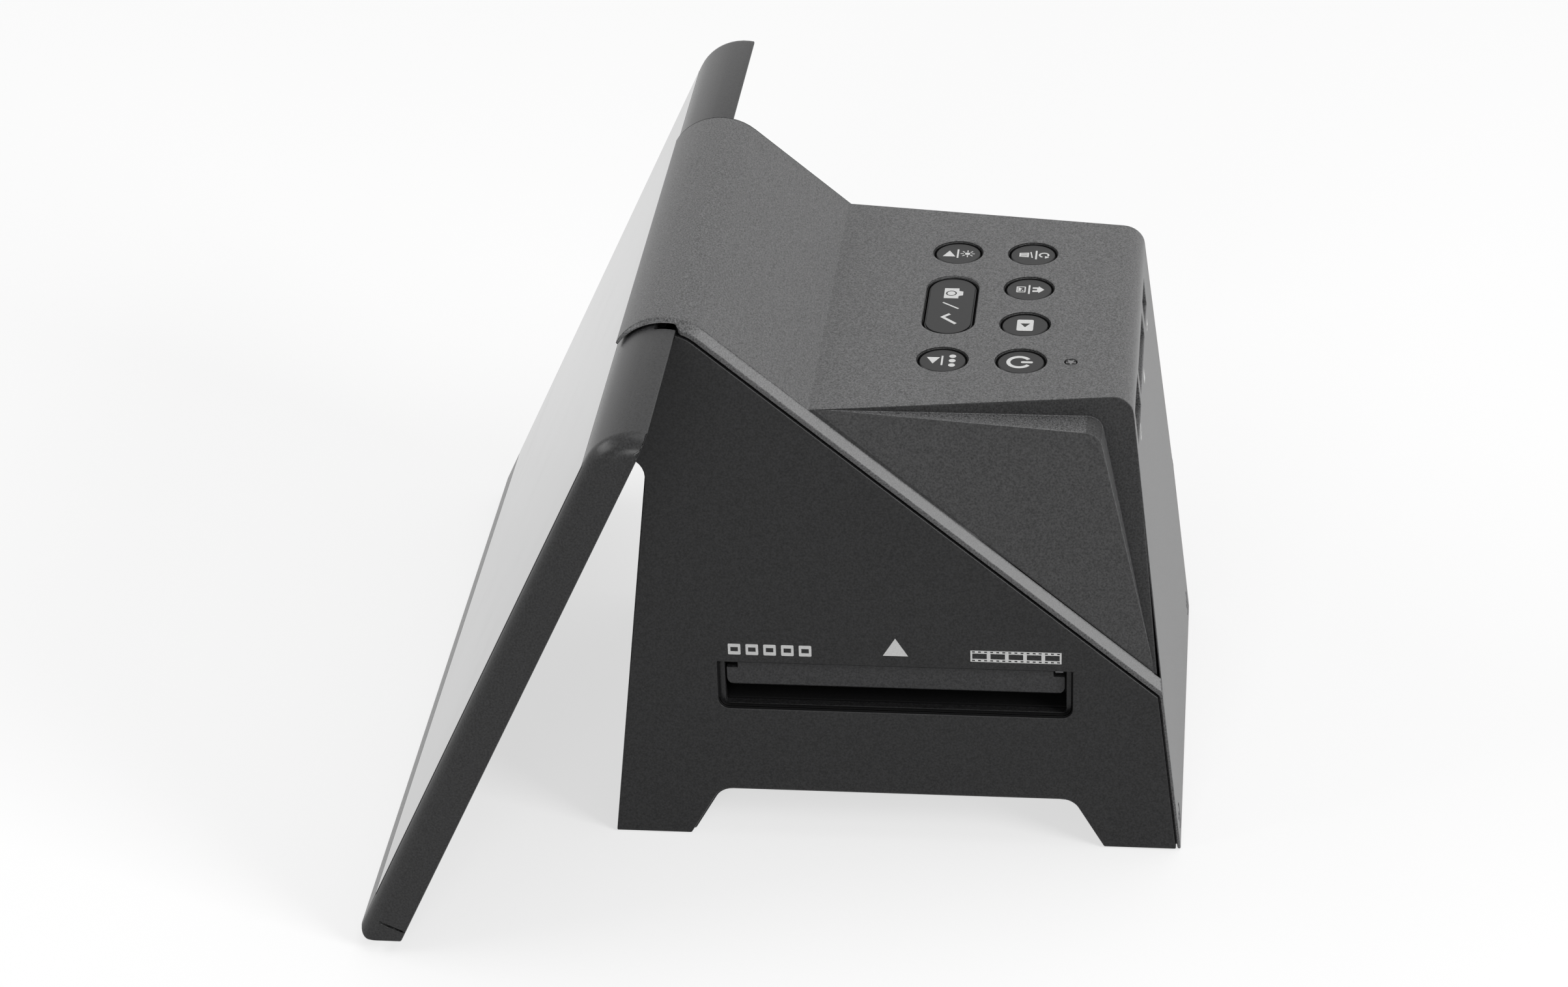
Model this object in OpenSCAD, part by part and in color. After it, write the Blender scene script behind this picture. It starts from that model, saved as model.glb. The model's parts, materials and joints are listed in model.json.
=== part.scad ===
// Film negative scanner with a hooded, tilting display.
// Film goes through the body from the right side to the left, under two sprung dust flaps.
// The origin is the bottom centre of the whole object, +Z is up, the display faces -Y.

/* [Body] */
// Width over the two side panels
body_w = 108.4; // [107.4:0.2:112]
// Front edge of the feet, from the middle of the body
foot_front_y = -66; // [-68:0.5:-65]
// Rear edge of the feet, from the middle of the body
foot_rear_y = 67.2; // [66.5:0.1:70]
// Height of the button deck
deck_z = 114.3; // [113.5:0.1:115.5]
// Backward lean of the front edge, in degrees
front_lean = 6.7; // [6.2:0.1:7]
// Forward lean of the rear face, in degrees
rear_lean = 6.5; // [6:0.1:7]
// Fall of the hood slope, in degrees
slope_deg = 40.7; // [39.5:0.1:41.5]
// Wall of the moulded shells
wall = 2.2; // [2:0.1:2.4]
// Radius of the rounded rear edge of the deck
rear_round = 5; // [4:0.5:6]
// How far the deck narrows on each side towards its rear corners
deck_narrows = 9.9; // [8.5:0.1:11]
// Outer radius of the hood
hood_r = 12.9; // [12.9:0.1:13.4]
// Height of the hood's centre over the hinge axis
hood_lift = 0.96; // [0.9:0.02:1.3]

/* [Side panels] */
// Thickness of a side panel
panel_t = 2; // [1.8:0.1:2.2]
// Chamfer along the edge of the hood and slope
strip_chamfer = 1.8; // [1.5:0.1:1.8]
// Plain band under that chamfer
strip_side = 1.15; // [1:0.05:1.5]
// Open joint between the band and the side panel
panel_gap = 0.45; // [0.35:0.05:0.7]
// Radius of the hollow in the front edge, under the display
cheek_r = 5; // [4.5:0.5:5.5]
// Height at which that hollow starts
cheek_z = 97.1; // [96:0.1:98]

/* [Feet] */
// Length of a foot along the table
foot_l = 18.6; // [17:0.1:20]
// Height of the arch between the feet
arch_z = 11.9; // [11.5:0.1:13]
// Slant of the arch ends, in degrees
arch_slant = 60.6; // [58:0.2:64]
// Radius of the arch shoulders
arch_r = 4.5; // [3:0.5:5]
// How much higher the arch is in the side panels
arch_step = 1.5; // [1:0.1:2]
// How far the rubber feet stand out under the shells
pad_proud = 0.3; // [0.2:0.05:1]
// Radius of the rubber feet
pad_r = 5; // [4:0.5:6]

/* [Film path] */
// Middle of the film path, from the middle of the body
film_y = 0.8; // [0.5:0.1:1.2]
// Width of the slot in the side panels
slot_w = 81.2; // [80.6:0.2:82]
// Lower edge of the slot
slot_z = 36.2; // [36:0.1:37]
// Height of the slot
slot_h = 12.3; // [12.1:0.1:13]
// Height of the film channel
channel_h = 4.7; // [4.5:0.1:4.8]
// Width of the film channel
channel_w = 76; // [75:0.5:76.5]
// Width of a dust flap
flap_w = 78.2; // [77.8:0.1:78.6]
// Thickness of a dust flap
flap_t = 1.5; // [1.3:0.1:1.6]
// Length and width of the light gate
gate = [37, 25.5];

/* [Display] */
// Width of the display
display_w = 210.5; // [200:0.5:220]
// Thickness of the display
display_t = 9.7; // [9.5:0.1:10]
// Lean of the display from upright, in degrees
display_tilt = 25.4; // [25:0.1:26.5]
// Hinge axis, from the middle of the body
hinge_y = -48.4; // [-49:0.1:-48]
// Height of the hinge axis
hinge_z = 123; // [122.8:0.1:124]
// Radius of the display's round top
barrel_r = 12.3; // [12.1:0.1:12.4]
// Height of the display's lower edge over the table
display_low_z = 3.2; // [3.2:0.1:6]
// Radius of the display's end corners
end_round = 4.5; // [3.5:0.5:5]
// Radius along the display's lower front edge
low_round = 2; // [1.5:0.1:2.5]
// Side border beside the glass
glass_border_x = 3.6; // [3:0.1:6]
// Border under the glass
glass_border_low = 11.8; // [10:0.1:14]
// Thickness of the glass
glass_t = 1.4; // [1:0.1:1.6]
// Wall of the display's frame and rear cover
display_wall = 2; // [1.8:0.1:2.2]

/* [Hinges] */
// Middle of each hinge, from the middle of the body
hinge_x = 36; // [30:0.5:40]
// Radius of the hinge pins
pin_r = 2.4; // [2:0.1:2.6]
// Radius of the hinge knuckles
knuckle_r = 4.6; // [4.2:0.1:5]
// Width of a hinge knuckle
knuckle_w = 4; // [3.5:0.5:4.5]

/* [Buttons] */
// Diameter of a round button
button_d = 11.8; // [11:0.1:12]
// Length of the long button
ok_l = 28.8; // [26:0.2:29.4]
// Width of the long button
ok_w = 12; // [11.4:0.1:12.4]
// Row of the long button, from the middle of the body
front_row_y = 10.8; // [10.6:0.1:11.2]
// Distance between the two rows
row_pitch = 17.8; // [17.4:0.1:18]
// Distance between buttons in the rear row
button_pitch = 17.93; // [17.6:0.01:18]
// How far the buttons stand out of the deck
button_proud = 0.7; // [0.6:0.1:1]
// Travel of a button
button_travel = 0.6; // [0.4:0.1:0.6]
// Radius of the status light
led_r = 1.15; // [1:0.05:1.3]

/* [Ports] */
// Height of the port row
port_z = 104.6; // [104.4:0.1:105]
// Side position of the power port
usb_x = -21; // [-23:0.5:-19]
// Side position of the card slot
card_x = 4; // [3:0.5:5]
// Side position of the video port
video_x = 31; // [30:0.5:31.5]

/* [Optics] */
// Outer radius of the lens tube
tube_r = 12; // [10:0.5:13]
// Height of the lens tube
tube_h = 34; // [30:1:38]
// Radius of the lens
lens_r = 9.2; // [8:0.1:9.4]

/* [Clearances] */
// Gap between the display's round top and the hood
hood_clear = 0.5; // [0.5:0.05:0.6]
// Gap that moving bodies keep
run_clear = 0.35; // [0.3:0.05:0.4]
// Radial clearance of a turning pin
pin_clear = 0.05; // [0.03:0.01:0.08]
// Clearance round a seated piece
seat_clear = 0.1; // [0.05:0.05:0.15]

/* [Hidden] */
$fn = 48;

// ---- small geometry functions, all in the (Y, Z) plane ----
function dir(a) = [cos(a), sin(a)];
function cross2(u, v) = u[0] * v[1] - u[1] * v[0];
// Crossing of the line through p at angle a with the line through q at angle b
function meet(p, a, q, b) = p + dir(a) * cross2(q - p, dir(b)) / cross2(dir(a), dir(b));
// Points of a round corner of radius r between a line that arrives at angle a and one that leaves at angle b
function round_corner(p, a, b, r, steps = 6) =
    let (turn = b - a, side = sign(turn), run = r * tan(abs(turn) / 2),
        centre = p - dir(a) * run + dir(a + 90 * side) * r)
    [for (i = [0 : steps]) centre + dir(a - 90 * side + turn * i / steps) * r];

base_z = pad_proud;                   // shells stay this far above the table
side_x = body_w / 2 - panel_t;        // outer face of the shells, inner face of the panels
strip_x = side_x + strip_chamfer;     // outer face of the band along the slope
far = 400;                            // longer than anything

axis = [hinge_y, hinge_z];
hood_c = [hinge_y, hinge_z + hood_lift];
trough_r = barrel_r + hood_clear;
slope_n = 90 - slope_deg;             // direction of the slope's outward normal
slope_top = hood_c + dir(slope_n) * hood_r;
crease = meet(slope_top, -slope_deg, [0, deck_z], 0);
tilt_in = 2;                          // display travel towards the body, in degrees
tilt_out = 17;                        // display travel away from the body, in degrees
lip_deg = 147.5;                      // where the hood ends, seen from the hinge axis
notch_deg = 80 + tilt_out;            // the hood's end is open inside up to this direction
notch_clear = 3;                      // further turn of the display that its room allows, in degrees
set_back = barrel_r - display_t;      // from the hinge axis to the display's rear face

// Front and rear faces of the body as functions of height
function front_y(z) = foot_front_y + z * tan(front_lean);
function rear_y(z, inset = 0) = foot_rear_y - z * tan(rear_lean) - inset / cos(rear_lean);
// A point p below the slope's surface, s along it from the crease
function slope_pt(s, p) = crease + dir(-slope_deg) * s - dir(slope_n) * p;
band_low = strip_chamfer + strip_side;      // lower edge of the band, below the slope's surface
panel_low = band_low + panel_gap;           // upper edge of the panel, below the slope's surface
rear_c = [rear_y(deck_z - rear_round, rear_round) , deck_z - rear_round];
trough_foot = axis + dir(-105) * trough_r;
slope_len = 130;

// Display section, in its own frame: Y backwards from the glass, Z up along the display
function from_display(p) = axis + [p[0] * cos(display_tilt) + p[1] * sin(display_tilt),
    -p[0] * sin(display_tilt) + p[1] * cos(display_tilt)];
// Height along the display at which a plane z above the table meets the depth yl
function low_at(yl, z) = (z - hinge_z + yl * sin(display_tilt)) / cos(display_tilt);
low_c = [low_round - barrel_r, low_at(low_round - barrel_r, display_low_z + low_round)];
front_reach = from_display(low_c)[0] - low_round;
centre_y = (front_reach + rear_y(base_z)) / 2;

// Everything is drawn from the middle of the body and then moved to the object's origin
module from_body() translate([0, -centre_y, 0]) children();
module at_display() from_body() translate([0, hinge_y, hinge_z]) rotate([-display_tilt, 0, 0]) children();
module both_sides() for (side = [0, 1]) mirror([side, 0, 0]) children();
// Extrudes a (Y, Z) shape along X
module across(x0, x1) translate([x0, 0, 0]) rotate([90, 0, 90]) linear_extrude(x1 - x0) children();
// Extrudes an (X, Z) shape towards the rear, from y0 to y1
module deep(y0, y1) translate([0, y1, 0]) rotate([90, 0, 0]) linear_extrude(y1 - y0) children();
module box(x, y, z) translate([x[0], y[0], z[0]]) cube([x[1] - x[0], y[1] - y[0], z[1] - z[0]]);

// ---- outlines of the body, seen from the side ----

// Rounded edge between the deck and the rear face
function rear_arc(r) = [for (i = [0 : 8]) rear_c + dir(90 + (rear_lean - 90) * i / 8) * r];
// Angle about the hood's centre of a point on the hood in direction a from the hinge axis
function hood_angle(a) = a - asin(hood_lift * cos(a) / hood_r);
hood_steps = 14;
hood_from = hood_angle(lip_deg);
function hood_turn(i) = hood_from + (slope_n - hood_from) * i / hood_steps;
function trough_arc(r, a, b, steps) = [for (i = [0 : steps]) axis + dir(a + (b - a) * i / steps) * r];

module body_outline() difference() {
    polygon(concat([[front_y(base_z), base_z], [front_y(cheek_z), cheek_z]],
        trough_arc(trough_r, -105, lip_deg, 36),
        [for (i = [0 : hood_steps]) hood_c + dir(hood_turn(i)) * hood_r],
        [crease], rear_arc(rear_round), [[rear_y(base_z), base_z]]));
    arch();
}

// The arch between the feet, grown outwards by `grow`
module arch(grow = 0) {
    run = grow / sin(arch_slant);
    front_foot = [foot_front_y + foot_l - run, 0];
    rear_foot = [foot_rear_y - foot_l + run, 0];
    left = meet(front_foot, arch_slant, [0, arch_z + grow], 0);
    right = meet(rear_foot, 180 - arch_slant, [0, arch_z + grow], 0);
    drop = [cos(arch_slant), sin(arch_slant)] * 10;
    polygon(concat([front_foot - drop], round_corner(left, arch_slant, 0, arch_r),
        round_corner(right, 0, -arch_slant, arch_r),
        [rear_foot + [drop[0], -drop[1]]]));
}

// Inside of the body at wall thickness, rear face set in by `rear_in`
module body_inside(rear_in = wall) {
    run = wall * (1 - cos(slope_deg)) / sin(slope_deg);
    slope_off = hood_r + hood_lift * cos(slope_deg) - wall;     // hinge axis to the slope's inner face
    arc_end = slope_n - acos(slope_off / (trough_r + wall));
    polygon(concat([[front_y(base_z) + wall, base_z + wall], [front_y(cheek_z) + wall, cheek_z]],
        trough_arc(trough_r + wall, -95, arc_end, 14), [slope_pt(run, wall)], rear_arc(rear_round - wall),
        [[rear_y(deck_z / 2, rear_in), deck_z / 2], [rear_y(base_z, rear_in), base_z + wall]]));
}

// The part of the side view that belongs to the top shell
module top_region() {
    split_front = meet([0, cheek_z], 0, slope_pt(0, panel_low), -slope_deg);
    split_rear = meet([rear_y(0, wall), 0], 90 + rear_lean, slope_pt(0, panel_low), -slope_deg);
    polygon([[-far, cheek_z], split_front, split_rear, [rear_y(-1, wall), -1], [far, -1], [far, far],
        [-far, far]]);
}

// ---- top shell: hood, slope, button deck and rear wall in one moulding ----
facet_y = rear_c[0] + rear_round;     // where the narrowing of the deck is measured
facet_turn = deck_narrows / (facet_y - crease[0]);
facet_lean = facet_turn / tan(slope_deg);
// Removes what lies outside the leaning side facet, `inset` further in
module facet_cut(inset = 0) {
    yaw = atan(facet_turn);
    pitch = atan(facet_lean / sqrt(1 + facet_turn * facet_turn));
    translate([side_x, crease[0], deck_z]) rotate([0, -pitch, yaw])
        translate([-inset, -far / 2, -far / 2]) cube(far);
}

pad_top_drop = 2.6;                   // the pad's upper edge, below the deck behind the crease
pad_fall = 4;                         // fall of that edge, in degrees
pad_round = 4;
pad_rear_deg = 102;                   // direction of the pad's rear edge
module side_pad(inset = 0) {
    low_rear = slope_pt(slope_len, 0);
    top_line = [crease[0], deck_z - inset / cos(pad_fall)];
    tail = [rear_y(47, 1.2 + inset), 47];
    corner = meet(top_line, -pad_fall, tail, pad_rear_deg);
    lowest = meet(tail, pad_rear_deg, slope_pt(0, inset), -slope_deg);
    polygon(concat([meet(top_line, -pad_fall, slope_pt(0, inset), -slope_deg)],
        round_corner(corner, -pad_fall, pad_rear_deg - 180, pad_round - inset), [lowest]));
}

// Where the rear face, set in by `inset`, runs up into the band
function under_band(inset) = meet([rear_y(0, inset), 0], 90 + rear_lean,
    slope_pt(0, band_low - 0.5), -slope_deg);
bite = 1.1;                           // how far the band's root reaches into the shell's side
edge_step = 0.03;
least_edge = 0.15;                    // thickness at which the chamfer runs out at the lip
band_lift = 0.06;                     // the band's underside stays this far above the trough
// Depth from the hood's outer surface to the trough, at angle a about the hood's centre
function hood_depth(a) = hood_r + hood_lift * sin(a) - sqrt(trough_r * trough_r - pow(hood_lift * cos(a), 2));
// The band is thin as far as the display's room reaches at the outer limit of its travel
thin_to = notch_deg + notch_clear - tilt_out - 1 - (hood_from - slope_n) / hood_steps;
// Stations along the edge, from the lip over the hood and down the slope: point, inward normal, depth,
// chamfer
band_path = concat([for (i = [0 : hood_steps]) let (a = hood_turn(i),
    low = a > thin_to ? hood_depth(a) - band_lift : band_low) [hood_c + dir(a) * hood_r, -dir(a), low,
    min(strip_chamfer, low - least_edge)]],
    [[slope_pt(slope_len, 0), -dir(slope_n), band_low, strip_chamfer]]);
// Section of the band at station s: root in the shell, edge, outer edge of the chamfer, underside
function band_section(s) = [[side_x - bite, min(bite, s[2] - 0.1)], [side_x, edge_step],
    [side_x + s[3], s[3] + edge_step], [side_x + s[3], s[2]], [side_x - bite, s[2]]];
module band_sweep() {
    corners = len(band_section(band_path[0]));
    last = len(band_path) - 1;
    points = [for (s = band_path, c = band_section(s)) let (p = s[0] + s[1] * c[1]) [c[0], p[0], p[1]]];
    sides = [for (k = [0 : last - 1], c = [0 : corners - 1], t = [0, 1]) let (n = (c + 1) % corners,
        p = k * corners + c, q = k * corners + n)
            t == 0 ? [p, q + corners, q] : [p, p + corners, q + corners]];
    start = [for (c = [1 : corners - 2]) [0, c, c + 1]];
    end = [for (c = [1 : corners - 2]) [last * corners, last * corners + c + 1, last * corners + c]];
    polyhedron(points, concat(sides, start, end));
}
module strip() {
    intersection() {
        band_sweep();
        across(0, far) polygon([[-far, -1], [rear_y(-1, edge_step), -1], [rear_y(far, edge_step), far],
            [-far, far]]);
    }
    // The rear wall reaches out behind the panel's rear edge
    across(side_x, strip_x) polygon([[rear_y(base_z, rear_band), base_z], [rear_y(base_z), base_z],
        under_band(0), under_band(rear_band)]);
}
rear_band = 0.75;                     // thickness of the rear wall beside the side panels
panel_rear = 0.35;                    // joint between that wall and the panel

hole_clear = 0.3;                     // gap round a button
ring_chamfer = 0.4;                   // chamfer round a button hole
ends = [-1, 1];
rear_row_y = front_row_y + row_pitch;
outer_x = 1.5 * button_pitch;
led_pos = [outer_x, rear_row_y + 11.3];
board_post_x = outer_x + 6.1;
post_y = (front_row_y + rear_row_y) / 2;
deck_in = deck_z - wall;              // underside of the deck
button_board_z = deck_in - 6.6;       // top of the button board
board_t = 1.6;
main_board_z = port_z - 2.6;          // top of the main board
main_x = 37;
main_front_y = -8;
main_rear_y = rear_y(main_board_z, wall) - 0.6;

module round_hole(r) {
    translate([0, 0, deck_in - 1]) cylinder(h = wall + 2, r = r);
    translate([0, 0, deck_z - ring_chamfer])
        cylinder(h = ring_chamfer + 1, r1 = r, r2 = r + ring_chamfer + 1);
}
module stadium(l, w) {
    square([l - w, w], center = true);
    for (e = ends) translate([e * (l - w) / 2, 0]) circle(w / 2);
}
module button_holes() {
    for (e = ends) translate([e * outer_x, front_row_y, 0]) round_hole(button_d / 2 + hole_clear);
    for (i = [0 : 3]) translate([(i - 1.5) * button_pitch, rear_row_y, 0])
        round_hole(button_d / 2 + hole_clear);
    translate([0, front_row_y, deck_in - 1]) linear_extrude(wall + 2)
        stadium(ok_l + 2 * hole_clear, ok_w + 2 * hole_clear);
    translate([0, front_row_y, deck_z - ring_chamfer]) linear_extrude(1)
        stadium(ok_l + 2 * hole_clear + 2 * ring_chamfer, ok_w + 2 * hole_clear + 2 * ring_chamfer);
    translate([led_pos[0], led_pos[1], 0]) round_hole(led_r + seat_clear);
}

usb = [9, 3.3];                       // width and height of the power socket's mouth
card = [25, 3];                       // width and height of the card socket's mouth
video = [15, 5];                      // width and height of the video socket's mouth
port_room = 1.6;                      // open margin round a socket
socket_gap = 0.8;                     // sockets stop this far inside the outer rear face
module port_hole(x, size)
    translate([x - size[0] / 2 - port_room, rear_c[0] - 6, port_z - size[1] / 2 - port_room])
    cube([size[0] + 2 * port_room, 20, size[1] + 2 * port_room]);

rear_screw = [side_x - 4.8, 5.2];     // X and height of the screws in the lower rear wall
screw_r = 1.3;
head_r = 2.6;
head_h = 1.6;
head_set = head_r * tan(front_lean) + 0.02;     // a flat head just clears the leaning front wall

front_screw_x = 24;
front_screw_z = cheek_z - 5;
module shell_posts() {
    // Posts for the button board and the main board hang from the deck
    for (p = [[-board_post_x, post_y], [board_post_x, post_y], [0, post_y + 1.2]])
        translate([p[0], p[1], button_board_z]) cylinder(h = deck_in - button_board_z + 0.5, r = 2);
    for (p = main_posts()) translate([p[0], p[1], main_board_z])
        cylinder(h = deck_in - main_board_z + 0.5, r = 2.2);
}
function main_posts() = [for (e = ends, y = [main_front_y + 4, rear_row_y + 12]) [e * (main_x - 3), y]];

module front_lap() {
    // Tab behind the base's front wall, for the two front screws
    for (e = ends) across(e * front_screw_x - 5, e * front_screw_x + 5)
        polygon([[front_y(cheek_z) + wall, cheek_z - 9], [front_y(cheek_z) + wall + 3, cheek_z - 9],
            [front_y(cheek_z) + wall + 3, cheek_z + 2], trough_foot + [2 * wall, -1],
            trough_foot + [wall, -1], [front_y(cheek_z) + wall - 0.4, cheek_z + 0.2],
            [front_y(cheek_z) + wall, cheek_z]]);
}

module top_shell() color("#5b5b5d") from_body() difference() {
    union() {
        difference() {
            union() {
                difference() {
                    across(-side_x, side_x) intersection() {
                        body_outline();
                        top_region();
                    }
                    both_sides() facet_cut();
                }
                both_sides() across(side_x - deck_narrows - 4, side_x - 0.2) side_pad();
                both_sides() strip();
            }
            difference() {
                across(wall - side_x, side_x - wall) body_inside();
                both_sides() facet_cut(wall);
            }
            both_sides() across(side_x - deck_narrows - 3 * wall, side_x - 0.2 - wall) side_pad(wall);
        }
        shell_posts();
        hinge_posts();
        front_lap();
    }
    button_holes();
    port_hole(usb_x, usb);
    port_hole(card_x, card);
    port_hole(video_x, video);
    both_sides() rear_screw_way(screw_r + seat_clear, head_r + 0.3);
    for (e = ends) translate([e * front_screw_x, front_y(front_screw_z) + wall - 1, front_screw_z])
        rotate([-90, 0, 0]) cylinder(h = 8, r = screw_r - 0.15);
    hinge_screw_ways(screw_r - 0.15);
}
module rear_screw_way(r, sink) translate([rear_screw[0], rear_y(rear_screw[1]), rear_screw[1]])
    rotate([90 - rear_lean, 0, 0]) {
        translate([0, 0, -1]) cylinder(h = 12, r = r);
        translate([0, 0, -1]) cylinder(h = 1.9, r = sink);
    }

// ---- base shell: feet, floor and inner side walls ----
floor_z = arch_z + wall;
flap_axis = [side_x - 1.6, slot_z + slot_h - 1.3];
flap_low = slot_z + channel_h + 0.1;
wall_open = flap_w / 2 + run_clear;   // half width of the opening behind the panel
ear = 3;
track_z = slot_z + 0.1;               // surface that the film holder slides on
module base_shell() color("#2c2c2e") from_body() difference() {
    union() {
        difference() {
            across(-side_x, side_x) difference() {
                body_outline();
                top_region();
            }
            across(wall - side_x, side_x - wall) difference() {
                body_inside(2 * wall);
                arch(wall);
                polygon([[-far, cheek_z], [far, cheek_z], [far, far], [-far, far]]);
            }
        }
        // Posts for the film track, the light box board and the screws
        for (x = ends, y = ends) translate([x * 42, film_y + y * 33, floor_z - 1])
            cylinder(h = track_z - track_t - floor_z + 1, r = 3);
        for (x = ends, y = ends) translate([x * 18, film_y + y * 15, floor_z - 1])
            cylinder(h = 3, r = 2.5);
        both_sides() translate([rear_screw[0], rear_y(rear_screw[1], wall + 0.5), rear_screw[1]])
            rotate([90 - rear_lean, 0, 0]) cylinder(h = 9, r = screw_r + 2);
        // Ears that hold the flap pins
        both_sides() for (e = ends)
            translate([side_x - wall - 1.6, film_y + e * (wall_open + ear / 2) - ear / 2, flap_axis[1] - 2.4])
            cube([2, ear, 4.8]);
    }
    both_sides() box([side_x - wall - 2, side_x + 1], [film_y - wall_open, film_y + wall_open],
        [slot_z - 0.05, slot_z + slot_h + 1.2]);
    both_sides() translate([flap_axis[0], film_y - wall_open - ear / 2 - 0.5, flap_axis[1]])
        rotate([-90, 0, 0]) cylinder(h = 2 * wall_open + ear + 1, r = pin_flap_r + pin_clear);
    both_sides() rear_screw_way(screw_r - 0.15, screw_r - 0.15);
    for (e = ends) translate([e * front_screw_x, front_y(front_screw_z) - 2, front_screw_z])
        rotate([-90, 0, 0]) cylinder(h = 6, r = screw_r + seat_clear);
    for (p = pad_places()) translate([p[0], p[1], base_z - 1])
        cylinder(h = 1 + pad_sink, r = pad_r + seat_clear);
}
pin_flap_r = 0.8;
track_t = 3;

pad_sink = 1;                         // depth of the recess for a rubber foot
function pad_places() = [for (x = ends, y = [foot_front_y + foot_l / 2 + 0.6, foot_rear_y - foot_l / 2 - 0.6])
    [x * (side_x - 9), y]];
module rubber_feet() color("#161616") from_body() for (p = pad_places()) translate([p[0], p[1], 0])
    cylinder(h = base_z + pad_sink, r = pad_r);

// ---- side panels ----
// Front edge of the panel where it follows the display's rear face at its inner limit
panel_axis_gap = set_back - 0.6;
display_n = 180 - display_tilt + tilt_in;
panel_edge = axis + dir(display_n) * panel_axis_gap;
module panel_outline() {
    cheek_c = [front_y(cheek_z) - cheek_r, cheek_z];
    tip = meet(panel_edge, display_n + 90, cheek_c + [0, cheek_r + 0.3], 0);
    // The upper edge follows the hood, then the slope
    top_r = hood_r - panel_low;
    top_from = display_n - acos((panel_axis_gap - hood_lift * sin(display_n)) / top_r);
    top = [for (i = [0 : 5]) hood_c + dir(top_from + (slope_n - top_from) * i / 5) * top_r];
    low_rear = meet(slope_pt(0, panel_low), -slope_deg,
        [rear_y(0, rear_band + panel_rear), 0], 90 + rear_lean);
    difference() {
        polygon(concat([[front_y(base_z), base_z]], [for (a = [0 : 13 : 78]) cheek_c + dir(a) * cheek_r],
            [tip], top, [low_rear, [rear_y(base_z, rear_band + panel_rear), base_z]]));
        translate([0, arch_step]) arch();
        translate([film_y - slot_w / 2, slot_z]) slot_shape(slot_w, slot_h, 2.2);
    }
}
// A slot with round lower corners
module slot_shape(w, h, r) {
    translate([r, 0]) square([w - 2 * r, h]);
    translate([0, r]) square([w, h - r]);
    for (x = [r, w - r]) translate([x, r]) circle(r);
}
lip_land = 0.7;                       // bevel round the slot's mouth
module side_panel() difference() {
    across(side_x, body_w / 2) panel_outline();
    across(body_w / 2 - lip_land, body_w / 2 + 1)
        translate([film_y - slot_w / 2 - lip_land / 2, slot_z - lip_land / 2])
        slot_shape(slot_w + lip_land, slot_h + lip_land / 2, 2.2 + lip_land / 2);
}
module right_side_panel() color("#232325") from_body() side_panel();
module left_side_panel() color("#232325") from_body() mirror([1, 0, 0]) side_panel();

module screw(len) {
    cylinder(h = head_h, r = head_r);
    translate([0, 0, head_h]) cylinder(h = len, r = screw_r - 0.2);
}
module body_screws() color("#8d8d90") from_body() {
    both_sides() translate([rear_screw[0], rear_y(rear_screw[1]), rear_screw[1]])
        rotate([90 - rear_lean, 0, 0]) translate([0, 0, 0.9 - head_h]) screw(9);
    for (e = ends) translate([e * front_screw_x, front_y(front_screw_z) - head_h - head_set, front_screw_z])
        rotate([-90, 0, 0]) screw(6);
}

// ---- dust flaps ----
notch = [2.6, 2.1];                   // corner notch round each pin
module flap() {
    x_out = side_x - 0.2;
    top = flap_axis[1];
    difference() {
        union() {
            deep_y(flap_w) polygon([[x_out - flap_t, flap_low], [x_out - 0.4, flap_low], [x_out, flap_low + 0.4],
                [x_out, top], [x_out - flap_t, top]]);
            translate([flap_axis[0], film_y - flap_w / 2, top]) rotate([-90, 0, 0])
                cylinder(h = flap_w, r = 1.25);
        }
        for (e = ends)
            translate([side_x - 6, film_y + e * flap_w / 2 - (e > 0 ? notch[0] : 0.5), top - notch[1] + 0.6])
            cube([8, notch[0] + 0.5, 4]);
        for (e = ends) corner_cut(e);
    }
    for (e = ends) translate([flap_axis[0], film_y + e * (flap_w / 2 - notch[0] / 2 + 0.9) , top])
        rotate([-90, 0, 0]) cylinder(h = notch[0] + 2.2, r = pin_flap_r, center = true);
}
// Rounds the flap's lower corners
module corner_cut(e) translate([side_x - 6, film_y + e * flap_w / 2, flap_low]) difference() {
    translate([0, -2, -2]) cube([8, 4, 4]);
    translate([-1, -e * 2, 2]) rotate([0, 90, 0]) cylinder(h = 10, r = 2);
    translate([-1, e > 0 ? -6 : 2, -3]) cube([10, 4, 6]);
    translate([-1, -3, 2]) cube([10, 6, 4]);
}
module deep_y(w) translate([0, film_y + w / 2, 0]) rotate([90, 0, 0]) linear_extrude(w) children();
module right_dust_flap() color("#1d1d1f") from_body() flap();
module left_dust_flap() color("#1d1d1f") from_body() mirror([1, 0, 0]) flap();

module flap_springs() color("#b9b9bd") from_body() both_sides()
    translate([flap_axis[0], film_y + flap_w / 2 - 2.2, flap_axis[1]]) rotate([-90, 0, 0]) difference() {
        cylinder(h = 1.8, r = 1.2);
        translate([0, 0, -1]) cylinder(h = 4, r = pin_flap_r + pin_clear);
    }

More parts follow.
